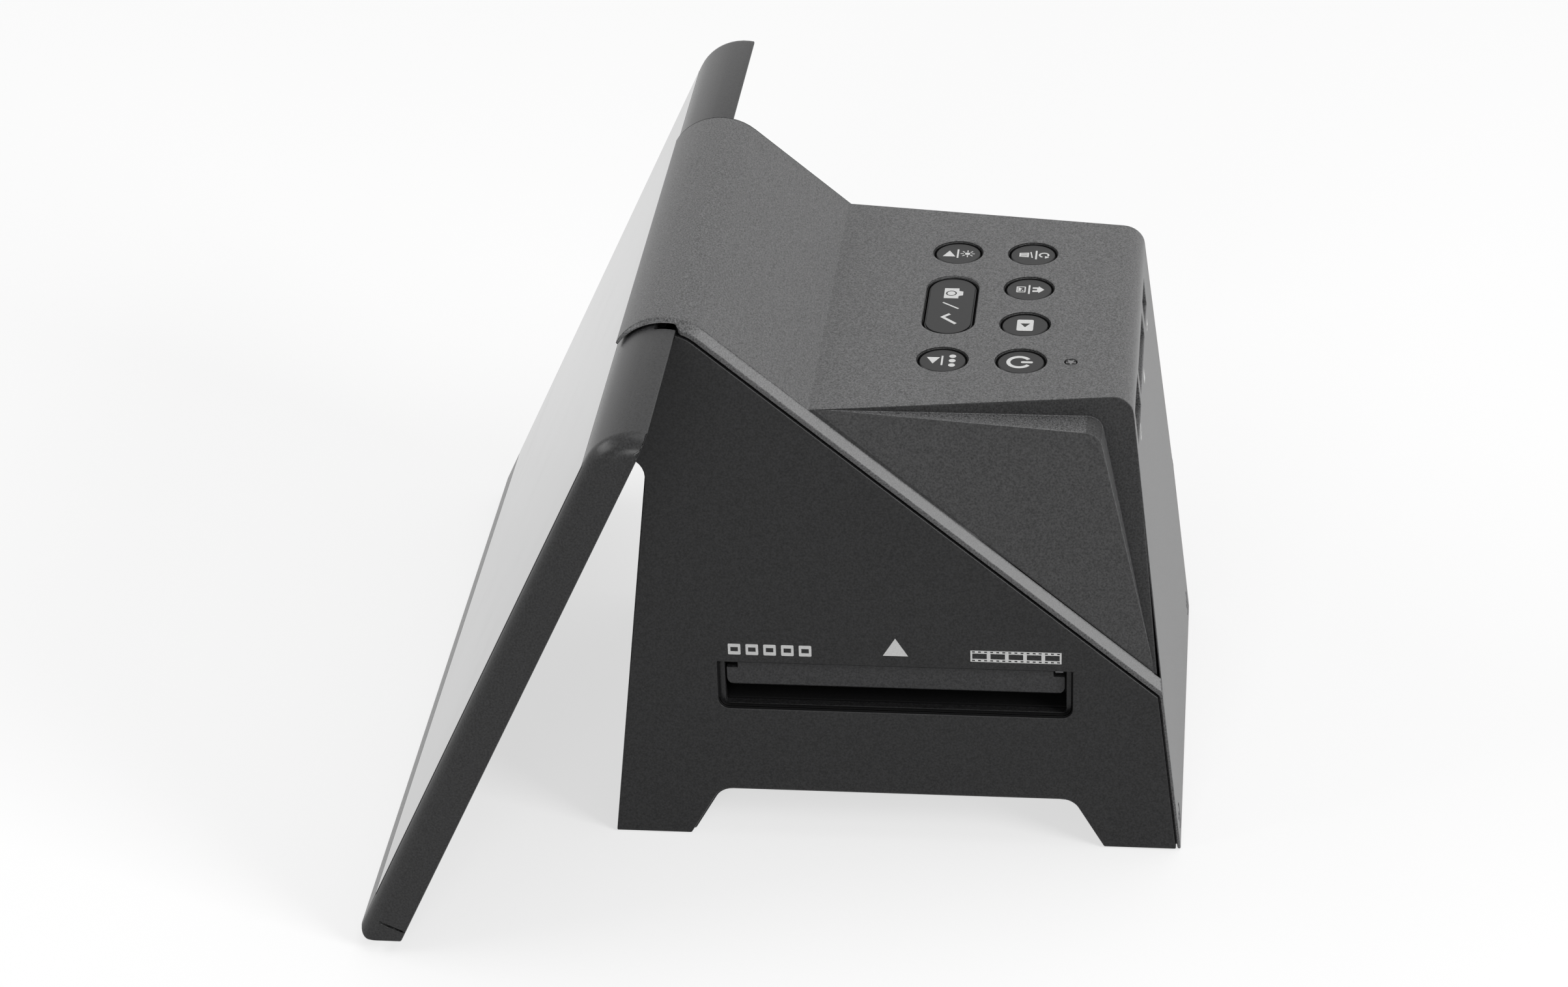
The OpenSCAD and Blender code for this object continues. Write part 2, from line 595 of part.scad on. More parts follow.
// ---- film track, light and lens ----
track_x = side_x - wall - 0.4;
track_w = channel_w + 4;
upper_x = flap_axis[0] - 7;
module gate_hole(z0, z1, grow = 0) box([-gate[0] / 2 - grow, gate[0] / 2 + grow],
    [film_y - gate[1] / 2 - grow, film_y + gate[1] / 2 + grow], [z0, z1]);
module film_track_lower() color("#1b1b1d") from_body() difference() {
    union() {
        box([-track_x, track_x], [film_y - track_w / 2, film_y + track_w / 2], [track_z - track_t, track_z]);
        for (e = ends) translate([0, film_y + e * (track_w / 2 - 1), 0])
            box([-upper_x, upper_x], ends, [track_z - 1, track_z + channel_h]);
    }
    gate_hole(track_z - track_t - 1, track_z + 1);
}
upper_z = track_z + channel_h;
module film_track_upper() color("#1b1b1d") from_body() difference() {
    union() {
        box([-upper_x, upper_x], [film_y - track_w / 2, film_y + track_w / 2], [upper_z, upper_z + 2]);
        for (e = ends) translate([e * (upper_x - 6), film_y, 0])
            box(ends, [-30, 30], [upper_z + 1, upper_z + 6]);
    }
    gate_hole(upper_z - 1, upper_z + 3);
}
lamp_z = floor_z + 2;
box_z = lamp_z + board_t;
diffuser_t = 2;
module backlight_board() color("#2f6b3c") from_body() {
    box([-23, 23], [film_y - 20, film_y + 20], [lamp_z, box_z]);
    for (x = [-1 : 1], y = [-1 : 1]) translate([x * 11 - 1.7, film_y + y * 8 - 1.4, box_z])
        cube([3.4, 2.8, 1]);
}
module light_box() color("#e8e8e4") from_body() difference() {
    box([-23, 23], [film_y - 20, film_y + 20], [box_z, track_z - track_t - diffuser_t]);
    box([-21.5, 21.5], [film_y - 18.5, film_y + 18.5], [box_z - 1, track_z]);
}
module diffuser() color("#f4f4ee") from_body()
    box([-23, 23], [film_y - 20, film_y + 20], [track_z - track_t - diffuser_t, track_z - track_t]);
tube_z = upper_z + 2;
module lens_tube() color("#1a1a1a") from_body() translate([0, film_y, tube_z]) difference() {
    union() {
        translate([-24, -20, 0]) cube([48, 40, 2]);
        cylinder(h = tube_h, r = tube_r);
        for (a = [45 : 90 : 315]) rotate([0, 0, a]) translate([0, -0.8, 0]) cube([tube_r + 6, 1.6, 12]);
    }
    translate([0, 0, -1]) cylinder(h = tube_h + 2, r = lens_r + seat_clear);
}
module lens() color("#9fb4c6") from_body() translate([0, film_y, tube_z + 12]) {
    cylinder(h = 3, r = lens_r);
    translate([0, 0, 3]) cylinder(h = 5, r = lens_r - 2);
    translate([0, 0, 8]) cylinder(h = 3, r = lens_r);
}
module sensor_board() color("#2f6b3c") from_body() {
    box([-18, 18], [film_y - 18, film_y + 18], [tube_z + tube_h, tube_z + tube_h + board_t]);
    box([-5, 5], [film_y - 5, film_y + 5], [tube_z + tube_h - 1.4, tube_z + tube_h]);
    box([-8, 8], [film_y - 16, film_y - 11], [tube_z + tube_h + board_t, tube_z + tube_h + board_t + 2]);
}

// ---- boards and sockets ----
module main_board() color("#2f6b3c") from_body() {
    difference() {
        box([-main_x, main_x], [main_front_y, main_rear_y], [main_board_z - board_t, main_board_z]);
        for (p = main_posts()) translate([p[0], p[1], main_board_z - 3]) cylinder(h = 5, r = screw_r);
    }
    box([-9, 9], [10, 28], [main_board_z - board_t - 1.4, main_board_z - board_t]);
    box([-28, -16], [14, 24], [main_board_z - board_t - 1.2, main_board_z - board_t]);
    box([15, 29], [2, 7], [main_board_z - board_t - 4, main_board_z - board_t]);
}
module socket(x, size, len) {
    mouth_y = rear_y(port_z) - socket_gap;
    w = size[0];
    h = size[1];
    difference() {
        box([x - w / 2 - 0.4, x + w / 2 + 0.4], [mouth_y - len, mouth_y],
            [main_board_z, port_z + h / 2 + 0.4]);
        box([x - w / 2, x + w / 2], [mouth_y - len + 1, mouth_y + 1], [port_z - h / 2, port_z + h / 2]);
    }
}
module tongue(x, w, len, z = port_z) box([x - w / 2, x + w / 2], [rear_y(port_z) - socket_gap - len,
    rear_y(port_z) - socket_gap - 1], [z - 0.4, z + 0.4]);
module usb_socket() color("#b4b4b8") from_body() union() {
    socket(usb_x, usb, 8);
    tongue(usb_x, 6.4, 7.6);
}
module card_socket() color("#b4b4b8") from_body() socket(card_x, card, 16);
module video_socket() color("#b4b4b8") from_body() union() {
    socket(video_x, video, 11);
    tongue(video_x, 11, 10.6);
}
module button_board() color("#2f6b3c") from_body() difference() {
    box([-board_post_x - 2.6, board_post_x + 2.6], [front_row_y - 7, rear_row_y + 6.5],
        [button_board_z - board_t, button_board_z]);
    for (p = [[-board_post_x, post_y], [board_post_x, post_y], [0, post_y + 1.2]])
        translate([p[0], p[1], button_board_z - 3]) cylinder(h = 5, r = screw_r);
}
function button_places() = concat([[-outer_x, front_row_y], [0, front_row_y], [outer_x, front_row_y]],
    [for (i = [0 : 3]) [(i - 1.5) * button_pitch, rear_row_y]]);
switch_h = 3.4;
module button_switches() color("#c9c9c6") from_body() for (p = button_places())
    translate([p[0], p[1], button_board_z]) {
    translate([-3, -3, 0]) cube([6, 6, switch_h - 0.9]);
    translate([0, 0, switch_h - 0.9]) cylinder(h = 0.9, r = 1.7);
}
module board_screws() color("#a9a9ad") from_body() {
    for (p = [[-board_post_x, post_y], [board_post_x, post_y], [0, post_y + 1.2]])
        translate([p[0], p[1], button_board_z - board_t - 1]) cylinder(h = 1, r = 2);
    for (p = main_posts()) translate([p[0], p[1], main_board_z - board_t - 1]) cylinder(h = 1, r = 2);
}
module status_light() color("#d8d8d8") from_body() translate([led_pos[0], led_pos[1], main_board_z])
    cylinder(h = deck_z - main_board_z - 0.1, r = led_r);

// ---- buttons ----
flange = 0.9;                         // rim that keeps a button under the deck
flange_h = 0.8;
cap_top = deck_z + button_proud;
cap_chamfer = 0.35;
module button_stem() translate([0, 0, button_board_z + switch_h + button_travel + 0.3])
    cylinder(h = deck_in - 1.5 - button_board_z - switch_h - button_travel - 0.3, r = 1.5);
module round_button() rotate_extrude() polygon([[0, deck_in - 2], [button_d / 2 + flange, deck_in - 2],
    [button_d / 2 + flange, deck_in - 2 + flange_h], [button_d / 2, deck_in - 2 + flange_h],
    [button_d / 2, cap_top - cap_chamfer], [button_d / 2 - cap_chamfer, cap_top], [0, cap_top]]);
module place_button(i) from_body() translate([button_places()[i][0], button_places()[i][1], 0]) {
    children();
    button_stem();
}
module button_left() color("#151516") place_button(0) round_button();
module button_right() color("#151516") place_button(2) round_button();
module button_delete() color("#151516") place_button(3) round_button();
module button_home() color("#151516") place_button(4) round_button();
module button_play() color("#151516") place_button(5) round_button();
module button_power() color("#151516") place_button(6) round_button();
module button_ok() color("#151516") place_button(1) union() {
    translate([0, 0, deck_in - 2]) linear_extrude(flange_h) stadium(ok_l + 2 * flange, ok_w + 2 * flange);
    translate([0, 0, deck_in - 2]) linear_extrude(cap_top - cap_chamfer - deck_in + 2) stadium(ok_l, ok_w);
    translate([0, 0, cap_top - cap_chamfer - 0.01]) linear_extrude(cap_chamfer + 0.01)
        stadium(ok_l - 2 * cap_chamfer, ok_w - 2 * cap_chamfer);
}

// ---- hinges ----
leaf_y = 9.4;                         // depth of the fixed leaf behind the hinge axis
leaf_t = 1.8;
leaf_z = 5;                           // half height of the fixed leaf
ear_gap = 0.4;                        // side play between knuckles
ear_x = knuckle_w + ear_gap;
// In the display's frame, but fixed to the body
module hinge_bracket() difference() {
    union() {
        for (e = ends) translate([e * ear_x - knuckle_w / 2, 0, 0]) {
            rotate([0, 90, 0]) cylinder(h = knuckle_w, r = knuckle_r);
            translate([0, 0, -leaf_z + 1]) cube([knuckle_w, leaf_y, 2 * leaf_z - 2]);
        }
        translate([-ear_x - knuckle_w / 2, leaf_y - leaf_t, -leaf_z])
            cube([2 * ear_x + knuckle_w, leaf_t, 2 * leaf_z]);
    }
    translate([-20, 0, 0]) rotate([0, 90, 0]) cylinder(h = 40, r = pin_r + pin_clear);
    translate([0, leaf_y - leaf_t - 1, 0]) rotate([-90, 0, 0]) cylinder(h = 4, r = screw_r + seat_clear);
}
module at_hinges() for (e = ends) translate([e * hinge_x, 0, 0]) children();
module hinge_brackets() color("#77777b") at_display() at_hinges() hinge_bracket();
// Posts on the hood's inner wall that carry the fixed leaves
module hinge_posts() translate([0, hinge_y, hinge_z]) rotate([-display_tilt, 0, 0]) at_hinges()
    translate([0, leaf_y, 0]) rotate([-90, 0, 0]) cylinder(h = trough_r + wall - leaf_y - 0.3, r = 3.4);
module hinge_screw_ways(r) translate([0, hinge_y, hinge_z]) rotate([-display_tilt, 0, 0]) at_hinges()
    translate([0, leaf_y - 1, 0]) rotate([-90, 0, 0]) cylinder(h = 6, r = r);
module hinge_screws() color("#a9a9ad") at_display() at_hinges() translate([0, leaf_y - leaf_t - 1, 0])
    rotate([-90, 0, 0]) union() {
        cylinder(h = 1, r = 2);
        cylinder(h = 5.2, r = screw_r - 0.2);
    }
pin_l = 2 * ear_x + knuckle_w + 1;
module hinge_pins() color("#b9b9bd") at_display() at_hinges() rotate([0, 90, 0]) {
    translate([0, 0, -pin_l / 2]) cylinder(h = pin_l, r = pin_r);
    for (e = ends) translate([0, 0, e * (pin_l / 2 + 0.5) - 0.5]) cylinder(h = 1, r = pin_r + 0.9);
}
foot_t = 1.6;
arm_reach = set_back + display_wall + foot_t;
module hinge_arms() color("#77777b") at_display() at_hinges() difference() {
    union() {
        translate([-knuckle_w / 2, 0, 0]) rotate([0, 90, 0]) cylinder(h = knuckle_w, r = knuckle_r - 0.6);
        translate([-knuckle_w / 2, -arm_reach, -6]) cube([knuckle_w, arm_reach, 8]);
        translate([-6, -arm_reach, -26]) cube([12, foot_t, 24]);
        translate([-knuckle_w / 2, -arm_reach, -16]) cube([knuckle_w, foot_t + 1.5, 14]);
    }
    translate([-20, 0, 0]) rotate([0, 90, 0]) cylinder(h = 40, r = pin_r + 0.01);
}

// ---- display, in its own frame: X across, Y backwards, Z up along it ----
half_w = display_w / 2;
low_z = low_at(-barrel_r, display_low_z);
module low_cut(lift) across(-far, far) polygon([[-far, low_at(-far, display_low_z + lift)],
    [far, low_at(far, display_low_z + lift)], [far, -far], [-far, -far]]);
// Solid display: a plate with rounded front corners under a round top that has the same corners
module display_solid() difference() {
    union() {
        translate([0, 0, low_z - 6]) linear_extrude(-low_z + 6) {
            translate([-half_w, -barrel_r + end_round]) square([display_w, barrel_r - end_round]);
            translate([-half_w + end_round, -barrel_r]) square([display_w - 2 * end_round, barrel_r]);
            for (e = ends) translate([e * (half_w - end_round), -barrel_r + end_round]) circle(end_round);
        }
        rotate([0, 90, 0]) rotate_extrude() {
            translate([0, -half_w]) square([barrel_r - end_round, display_w]);
            translate([0, -half_w + end_round]) square([barrel_r, display_w - 2 * end_round]);
            for (e = ends) translate([barrel_r - end_round, e * (half_w - end_round)]) circle(end_round);
        }
    }
    box([-far, far], [-set_back, far], [-far, far]);
    low_cut(0);
    // Rounded lower front edge
    across(-far, far) difference() {
        polygon([[-barrel_r - 1, low_at(-barrel_r - 1, display_low_z - 1)], [-barrel_r - 1, low_c[1]], low_c,
            low_c + [sin(display_tilt), -cos(display_tilt)] * (low_round + 1)]);
        translate(low_c) circle(low_round);
    }
    // Room for the hood and the hinge behind the round top
    across(-mid_x, mid_x) polygon([[0, 0], dir(notch_local) * 40, [40, 40]]);
}
mid_x = body_w / 2 + run_clear;
notch_local = notch_deg + notch_clear + display_tilt;

cover_in = 2;                         // the rear cover's distance from the frame's outer edges
cover_x = half_w - cover_in;
cover_low = low_z + 5 + cover_in;
cover_top = 8.6;
inner_r = barrel_r - display_wall;
bezel_t = 0.9;                        // frame left behind the glass
shoulder_x = mid_x + display_wall;
module cover_shape(inset = 0) difference() {
    union() {
        translate([-cover_x + inset, cover_low + inset])
            square([2 * (cover_x - inset), -2 - cover_low - 2 * inset]);
        for (e = ends) translate([e > 0 ? shoulder_x + inset : -cover_x + inset, cover_low + inset])
            square([cover_x - shoulder_x - 2 * inset, cover_top - cover_low - 2 * inset]);
    }
}
module display_cavity() {
    intersection() {
        deep(-barrel_r + glass_t + bezel_t, 0) cover_shape();
        union() {
            box([-far, far], [-far, far], [-far, 0]);
            rotate([0, 90, 0]) translate([0, 0, -cover_x]) cylinder(h = 2 * cover_x, r = inner_r);
        }
    }
    // The round top is hollow too
    intersection() {
        rotate([0, 90, 0]) translate([0, 0, -cover_x]) cylinder(h = 2 * cover_x, r = inner_r);
        union() {
            box([-far, far], [-far, -set_back - display_wall], [-3, far]);
            box([-mid_x, mid_x], [-far, 0], [-3, far]);
        }
        difference() {
            box([-far, far], [-far, 0], [-3, far]);
            for (e = ends)
                box([e > 0 ? mid_x : -shoulder_x, e > 0 ? shoulder_x : -mid_x], [-far, far], [-far, far]);
        }
    }
}
glass_x = half_w - glass_border_x;
glass_low = low_z + glass_border_low;
glass_top = -1.5;
module glass_shape(grow = 0) translate([-glass_x - grow, glass_low - grow])
    square([2 * (glass_x + grow), glass_top - glass_low + 2 * grow]);
view_x = 80;                          // half width of the opening behind the glass
view_low = -114;
view_top = -10;
module display_frame() color("#3a3a3c") at_display() difference() {
    union() {
        difference() {
            display_solid();
            display_cavity();
        }
        // Bosses for the rear cover's screws
        for (p = screw_places()) translate([p[0], -set_back - display_wall - 0.05, p[1]]) rotate([90, 0, 0])
            cylinder(h = display_t - 2 * display_wall, r = 2.4);
    }
    for (p = screw_places()) translate([p[0], 0, p[1]]) rotate([90, 0, 0])
        cylinder(h = 9, r = screw_r - 0.15);
    deep(-barrel_r - 1, -barrel_r + glass_t) glass_shape(seat_clear);
    deep(-barrel_r - 1, 0) translate([-view_x, view_low]) square([2 * view_x, view_top - view_low]);
    // Fine joint line round the lower end
    both_sides()
        box([half_w - 0.25, half_w + 1], [-barrel_r + 1.2, -set_back - 0.6], [low_z + 7.2, low_z + 7.5]);
}
module display_glass() color("#c9cccf") at_display()
    deep(-barrel_r, -barrel_r + glass_t) glass_shape();
lcd_t = 3;
lcd_y = -barrel_r + glass_t;
module lcd_panel() color("#2a2d33") at_display()
    box([-view_x + 0.5, view_x - 0.5], [lcd_y, lcd_y + lcd_t], [view_low + 0.5, view_top - 0.5]);
module display_rear_cover() color("#3a3a3c") at_display() difference() {
    union() {
        deep(-set_back - display_wall, -set_back) cover_shape(seat_clear);
        // Bosses that the display board stands on
        for (x = ends, z = [-100, -62]) translate([x * 34, -set_back - display_wall, z]) rotate([90, 0, 0])
            cylinder(h = board_off, r = 2.2);
    }
    // Slots for the two hinge arms and room for the fixed knuckles
    at_hinges() {
        box([-knuckle_w / 2 - 0.3, knuckle_w / 2 + 0.3], [-far, far], [-16.3, 0]);
        translate([-pin_l / 2 - 1.4, 0, 0]) rotate([0, 90, 0])
            cylinder(h = pin_l + 2.8, r = knuckle_r + run_clear);
    }
    for (p = screw_places()) translate([p[0], 0, p[1]]) rotate([90, 0, 0]) {
        cylinder(h = 20, r = screw_r);
        cylinder(h = set_back + 1.1, r = head_r);
    }
}
board_off = 0.8;
module display_board() color("#2f6b3c") at_display()
    box([-38, 38], [lcd_y + lcd_t + 0.2, -set_back - display_wall - board_off], [-104, -58]);
function screw_places() = [for (x = ends, z = [cover_low + 5, -60, 3]) [x * (cover_x - 5), z]];
module display_screws() color("#8d8d90") at_display() for (p = screw_places())
    translate([p[0], -set_back - 0.1, p[1]]) rotate([90, 0, 0]) {
        cylinder(h = 1, r = head_r - 0.3);
        cylinder(h = 4.4, r = screw_r - 0.2);
    }

top_shell();
base_shell();
right_side_panel();
left_side_panel();
rubber_feet();
body_screws();
film_track_lower();
film_track_upper();
light_box();
backlight_board();
diffuser();
lens_tube();
lens();
sensor_board();
main_board();
card_socket();
usb_socket();
video_socket();
button_board();
button_switches();
board_screws();
status_light();
button_left();
button_ok();
button_right();
button_delete();
button_home();
button_play();
button_power();
right_dust_flap();
left_dust_flap();
flap_springs();
hinge_brackets();
hinge_screws();
hinge_pins();
hinge_arms();
display_frame();
display_glass();
lcd_panel();
display_rear_cover();
display_board();
display_screws();
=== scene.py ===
import json
from math import cos, hypot, pi, radians, sin, tan

import bmesh
import bpy
from mathutils import Euler, Matrix, Vector
from mathutils.bvhtree import BVHTree

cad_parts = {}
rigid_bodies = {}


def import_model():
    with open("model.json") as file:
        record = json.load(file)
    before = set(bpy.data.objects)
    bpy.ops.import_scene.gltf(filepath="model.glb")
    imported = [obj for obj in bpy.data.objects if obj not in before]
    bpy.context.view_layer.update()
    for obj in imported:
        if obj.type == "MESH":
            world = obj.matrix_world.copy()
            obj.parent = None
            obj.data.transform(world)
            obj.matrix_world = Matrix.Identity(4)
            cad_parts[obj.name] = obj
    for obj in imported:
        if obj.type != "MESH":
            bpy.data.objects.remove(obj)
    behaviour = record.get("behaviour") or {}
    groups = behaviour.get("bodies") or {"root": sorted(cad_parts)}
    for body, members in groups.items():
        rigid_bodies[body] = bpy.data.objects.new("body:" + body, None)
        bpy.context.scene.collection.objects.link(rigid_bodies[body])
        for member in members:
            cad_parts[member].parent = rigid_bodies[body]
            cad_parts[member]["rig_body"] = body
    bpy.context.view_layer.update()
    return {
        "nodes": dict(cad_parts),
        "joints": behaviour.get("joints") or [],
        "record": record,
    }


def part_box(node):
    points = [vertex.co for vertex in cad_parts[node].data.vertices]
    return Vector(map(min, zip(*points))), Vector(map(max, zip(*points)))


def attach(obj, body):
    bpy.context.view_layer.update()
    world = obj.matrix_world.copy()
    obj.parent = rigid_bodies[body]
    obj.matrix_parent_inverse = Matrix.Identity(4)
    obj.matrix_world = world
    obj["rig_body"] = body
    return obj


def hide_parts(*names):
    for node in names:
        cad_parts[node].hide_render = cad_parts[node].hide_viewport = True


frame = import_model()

mm = 0.001

# ---- what the frame gives, and places on the part ----
nodes = frame["nodes"]
slot_of = {part["node"]: part["material_slot"] for part in frame["record"]["subparts"]}
hinge = next(Vector(joint["pos_m"]) for joint in frame["joints"] if joint["name"] == "display_tilt")
deck_z = 114.3 * mm
display_lean = radians(25.4)
rear_lean = radians(6.5)
# The way that the display's back faces
display_back = Matrix.Rotation(-display_lean, 3, "X") @ Vector((0, 1, 0))


def middle(node):
    low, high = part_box(node)
    return (low + high) / 2


def put_in_scene(name, data):
    """Makes an object of a camera, lamp, mesh or curve and puts it in the scene."""
    made = bpy.data.objects.new(name, data)
    bpy.context.scene.collection.objects.link(made)
    return made


def worked_out(piece):
    """The plain mesh that a piece's modifiers or its curve give."""
    bpy.context.view_layer.update()
    return bpy.data.meshes.new_from_object(piece.evaluated_get(bpy.context.evaluated_depsgraph_get()))


def add(tree, kind, inputs=None, **settings):
    """Adds a node to a tree. An input is a socket to link or a value."""
    node = tree.nodes.new(kind)
    for name, value in settings.items():
        setattr(node, name, value)
    for name, value in (inputs or {}).items():
        if isinstance(value, bpy.types.NodeSocket):
            tree.links.new(value, node.inputs[name])
        else:
            node.inputs[name].default_value = value
    return node


def calculate(tree, operation, *values):
    return add(tree, "ShaderNodeMath", dict(enumerate(values)), operation=operation).outputs[0]


# ---- camera, light and floor ----
camera_at = Vector((829.22, 98.34, 546.13)) * mm
camera_aim = Vector((0.0, -4.57, 62.19)) * mm
camera_roll = radians(-2.106)
sensor_width = 36.0       # this and the lens in millimetres, as the camera takes them
lens_length = 92.32
lamp_aim = (0, 0, 0.08)
white = (1, 1, 1, 1)


def looking(place, aim):
    """Stands at a place and looks along its own -Z at the aim."""
    turn = (Vector(aim) - Vector(place)).to_track_quat("-Z", "Y").to_matrix().to_4x4()
    return Matrix.Translation(place) @ turn


def set_camera():
    camera = put_in_scene("camera", bpy.data.cameras.new("camera"))
    camera.data.sensor_fit = "HORIZONTAL"
    camera.data.sensor_width = sensor_width
    camera.data.lens = lens_length
    camera.data.clip_start = 0.01
    camera.data.clip_end = 20
    camera.matrix_world = looking(camera_at, camera_aim) @ Matrix.Rotation(camera_roll, 4, "Z")
    bpy.context.scene.camera = camera


def set_lamp(name, place, size, power, aim=lamp_aim):
    lamp = put_in_scene(name, bpy.data.lights.new(name, "AREA"))
    lamp.data.shape = "RECTANGLE"
    lamp.data.size, lamp.data.size_y = size
    lamp.data.energy = power
    lamp.matrix_world = looking(place, aim)


def seen_straight(tree):
    """1 for what the camera sees, straight, reflected or through glass, and 0 for the light on things."""
    path = add(tree, "ShaderNodeLightPath")
    seen = path.outputs["Is Camera Ray"]
    for kind in ("Is Glossy Ray", "Is Transmission Ray"):
        seen = calculate(tree, "MAXIMUM", seen, path.outputs[kind])
    return seen


def set_world(ambient):
    """White for what the camera sees of it, and soft light for the rest."""
    world = bpy.data.worlds.new("studio")
    bpy.context.scene.world = world
    world.use_nodes = True
    tree = world.node_tree
    tree.nodes.clear()
    seen = seen_straight(tree)
    soft = add(tree, "ShaderNodeBackground", {"Color": white, "Strength": ambient})
    bright = add(tree, "ShaderNodeBackground", {"Color": white, "Strength": 1.0})
    mixed = add(tree, "ShaderNodeMixShader", {0: seen, 1: soft.outputs[0], 2: bright.outputs[0]})
    add(tree, "ShaderNodeOutputWorld", {"Surface": mixed.outputs[0]})


def set_floor(size, bounce, lift):
    """A floor that looks white, keeps the shadow and throws little light up.

    bounce is its colour for the light on things, and lift the share of its look that glows.
    """
    bm = bmesh.new()
    bmesh.ops.create_grid(bm, x_segments=1, y_segments=1, size=size / 2)
    mesh = bpy.data.meshes.new("floor")
    bm.to_mesh(mesh)
    bm.free()
    floor = put_in_scene("floor", mesh)
    paint = bpy.data.materials.new("floor_paint")
    paint.use_nodes = True
    tree = paint.node_tree
    tree.nodes.clear()
    shaded = add(tree, "ShaderNodeBsdfDiffuse", {"Color": white})
    glow = add(tree, "ShaderNodeEmission", {"Color": white, "Strength": 1.0})
    looks = add(tree, "ShaderNodeMixShader", {0: lift, 1: shaded.outputs[0], 2: glow.outputs[0]})
    grey = add(tree, "ShaderNodeBsdfDiffuse", {"Color": (bounce, bounce, bounce, 1)})
    seen = seen_straight(tree)
    mixed = add(tree, "ShaderNodeMixShader", {0: seen, 1: grey.outputs[0], 2: looks.outputs[0]})
    add(tree, "ShaderNodeOutputMaterial", {"Surface": mixed.outputs[0]})
    mesh.materials.append(paint)


# ---- finishes ----
def blank(name):
    """A new material, its tree, its shader, and where each point lies on the part."""
    made = bpy.data.materials.new(name)
    made.use_nodes = True
    tree = made.node_tree
    place = add(tree, "ShaderNodeTexCoord").outputs["Object"]
    return made, tree, tree.nodes["Principled BSDF"], place


def shade(colour, factor):
    return [min(1.0, channel * factor) for channel in colour] + [1.0]


def noise(tree, place, grain, detail=2.0, roughness=0.5):
    found = add(tree, "ShaderNodeTexNoise", {"Vector": place, "Scale": 1 / grain, "Detail": detail,
                                             "Roughness": roughness})
    return found.outputs["Fac"]


def ramp(tree, factor, low, high, start=0.3, end=0.7):
    made = add(tree, "ShaderNodeValToRGB", {"Fac": factor})
    ends = made.color_ramp.elements
    ends[0].position, ends[0].color = start, low
    ends[1].position, ends[1].color = end, high
    return made.outputs["Color"]


def blend(tree, kind, one, other):
    """Two colours blended in full. The colour sockets of the mix node are 6, 7 and 2."""
    made = add(tree, "ShaderNodeMix", {0: 1.0, 6: one, 7: other}, data_type="RGBA", blend_type=kind)
    return made.outputs[2]


def spread(tree, factor, low, high):
    """Stretches a noise, which lies mostly between 0.25 and 0.75, to run from low to high."""
    made = add(tree, "ShaderNodeMapRange", {"Value": factor, "From Min": 0.25, "From Max": 0.75,
                                            "To Min": low, "To Max": high})
    return made.outputs[0]


def bump(tree, shader, height, depth, strength=1.0):
    made = add(tree, "ShaderNodeBump", {"Height": height, "Distance": depth, "Strength": strength})
    tree.links.new(made.outputs["Normal"], shader.inputs["Normal"])


def moulded_plastic(name, colour, roughness, specular, grain=0.45 * mm, depth=0.03 * mm, speckle=0.62):
    """Plastic with the fine grain of a spark-eroded mould, slightly cloudy over a few centimetres."""
    made, tree, shader, place = blank(name)
    fine = noise(tree, place, grain, detail=3.0, roughness=0.6)
    cloud = noise(tree, place, 38 * mm)
    dark, light = shade(colour, 1 - speckle), shade(colour, 1 + speckle)
    grained = ramp(tree, fine, dark, light, start=0.32, end=0.68)
    clouded = ramp(tree, cloud, shade((1, 1, 1), 0.94), white)
    tree.links.new(blend(tree, "MULTIPLY", grained, clouded), shader.inputs["Base Color"])
    tree.links.new(spread(tree, fine, roughness - 0.05, roughness + 0.07), shader.inputs["Roughness"])
    shader.inputs["Specular IOR Level"].default_value = specular
    bump(tree, shader, fine, depth)
    return made


def soft_rubber(name, colour):
    """Dull rubber with a little dust on it."""
    made, tree, shader, place = blank(name)
    dust = noise(tree, place, 1.6 * mm, detail=4.0, roughness=0.7)
    tree.links.new(ramp(tree, dust, shade(colour, 0.8), shade(colour, 1.5)), shader.inputs["Base Color"])
    shader.inputs["Roughness"].default_value = 0.85
    shader.inputs["Specular IOR Level"].default_value = 0.3
    bump(tree, shader, dust, depth=0.02 * mm)
    return made


def plated_steel(name, colour, roughness, brushing=(1, 1, 40)):
    """Sheet or turned steel with fine parallel tool marks and a plated shine."""
    made, tree, shader, place = blank(name)
    along = add(tree, "ShaderNodeMapping", {"Vector": place, "Scale": brushing}).outputs[0]
    marks = noise(tree, along, 4 * mm, detail=4.0, roughness=0.7)
    stain = noise(tree, place, 5 * mm, detail=3.0)
    marked = ramp(tree, marks, shade(colour, 0.86), shade(colour, 1.12))
    stained = ramp(tree, stain, shade((1, 1, 1), 0.9), white)
    tree.links.new(blend(tree, "MULTIPLY", marked, stained), shader.inputs["Base Color"])
    tree.links.new(spread(tree, marks, roughness - 0.08, roughness + 0.1), shader.inputs["Roughness"])
    shader.inputs["Metallic"].default_value = 1.0
    bump(tree, shader, marks, depth=0.01 * mm)
    return made


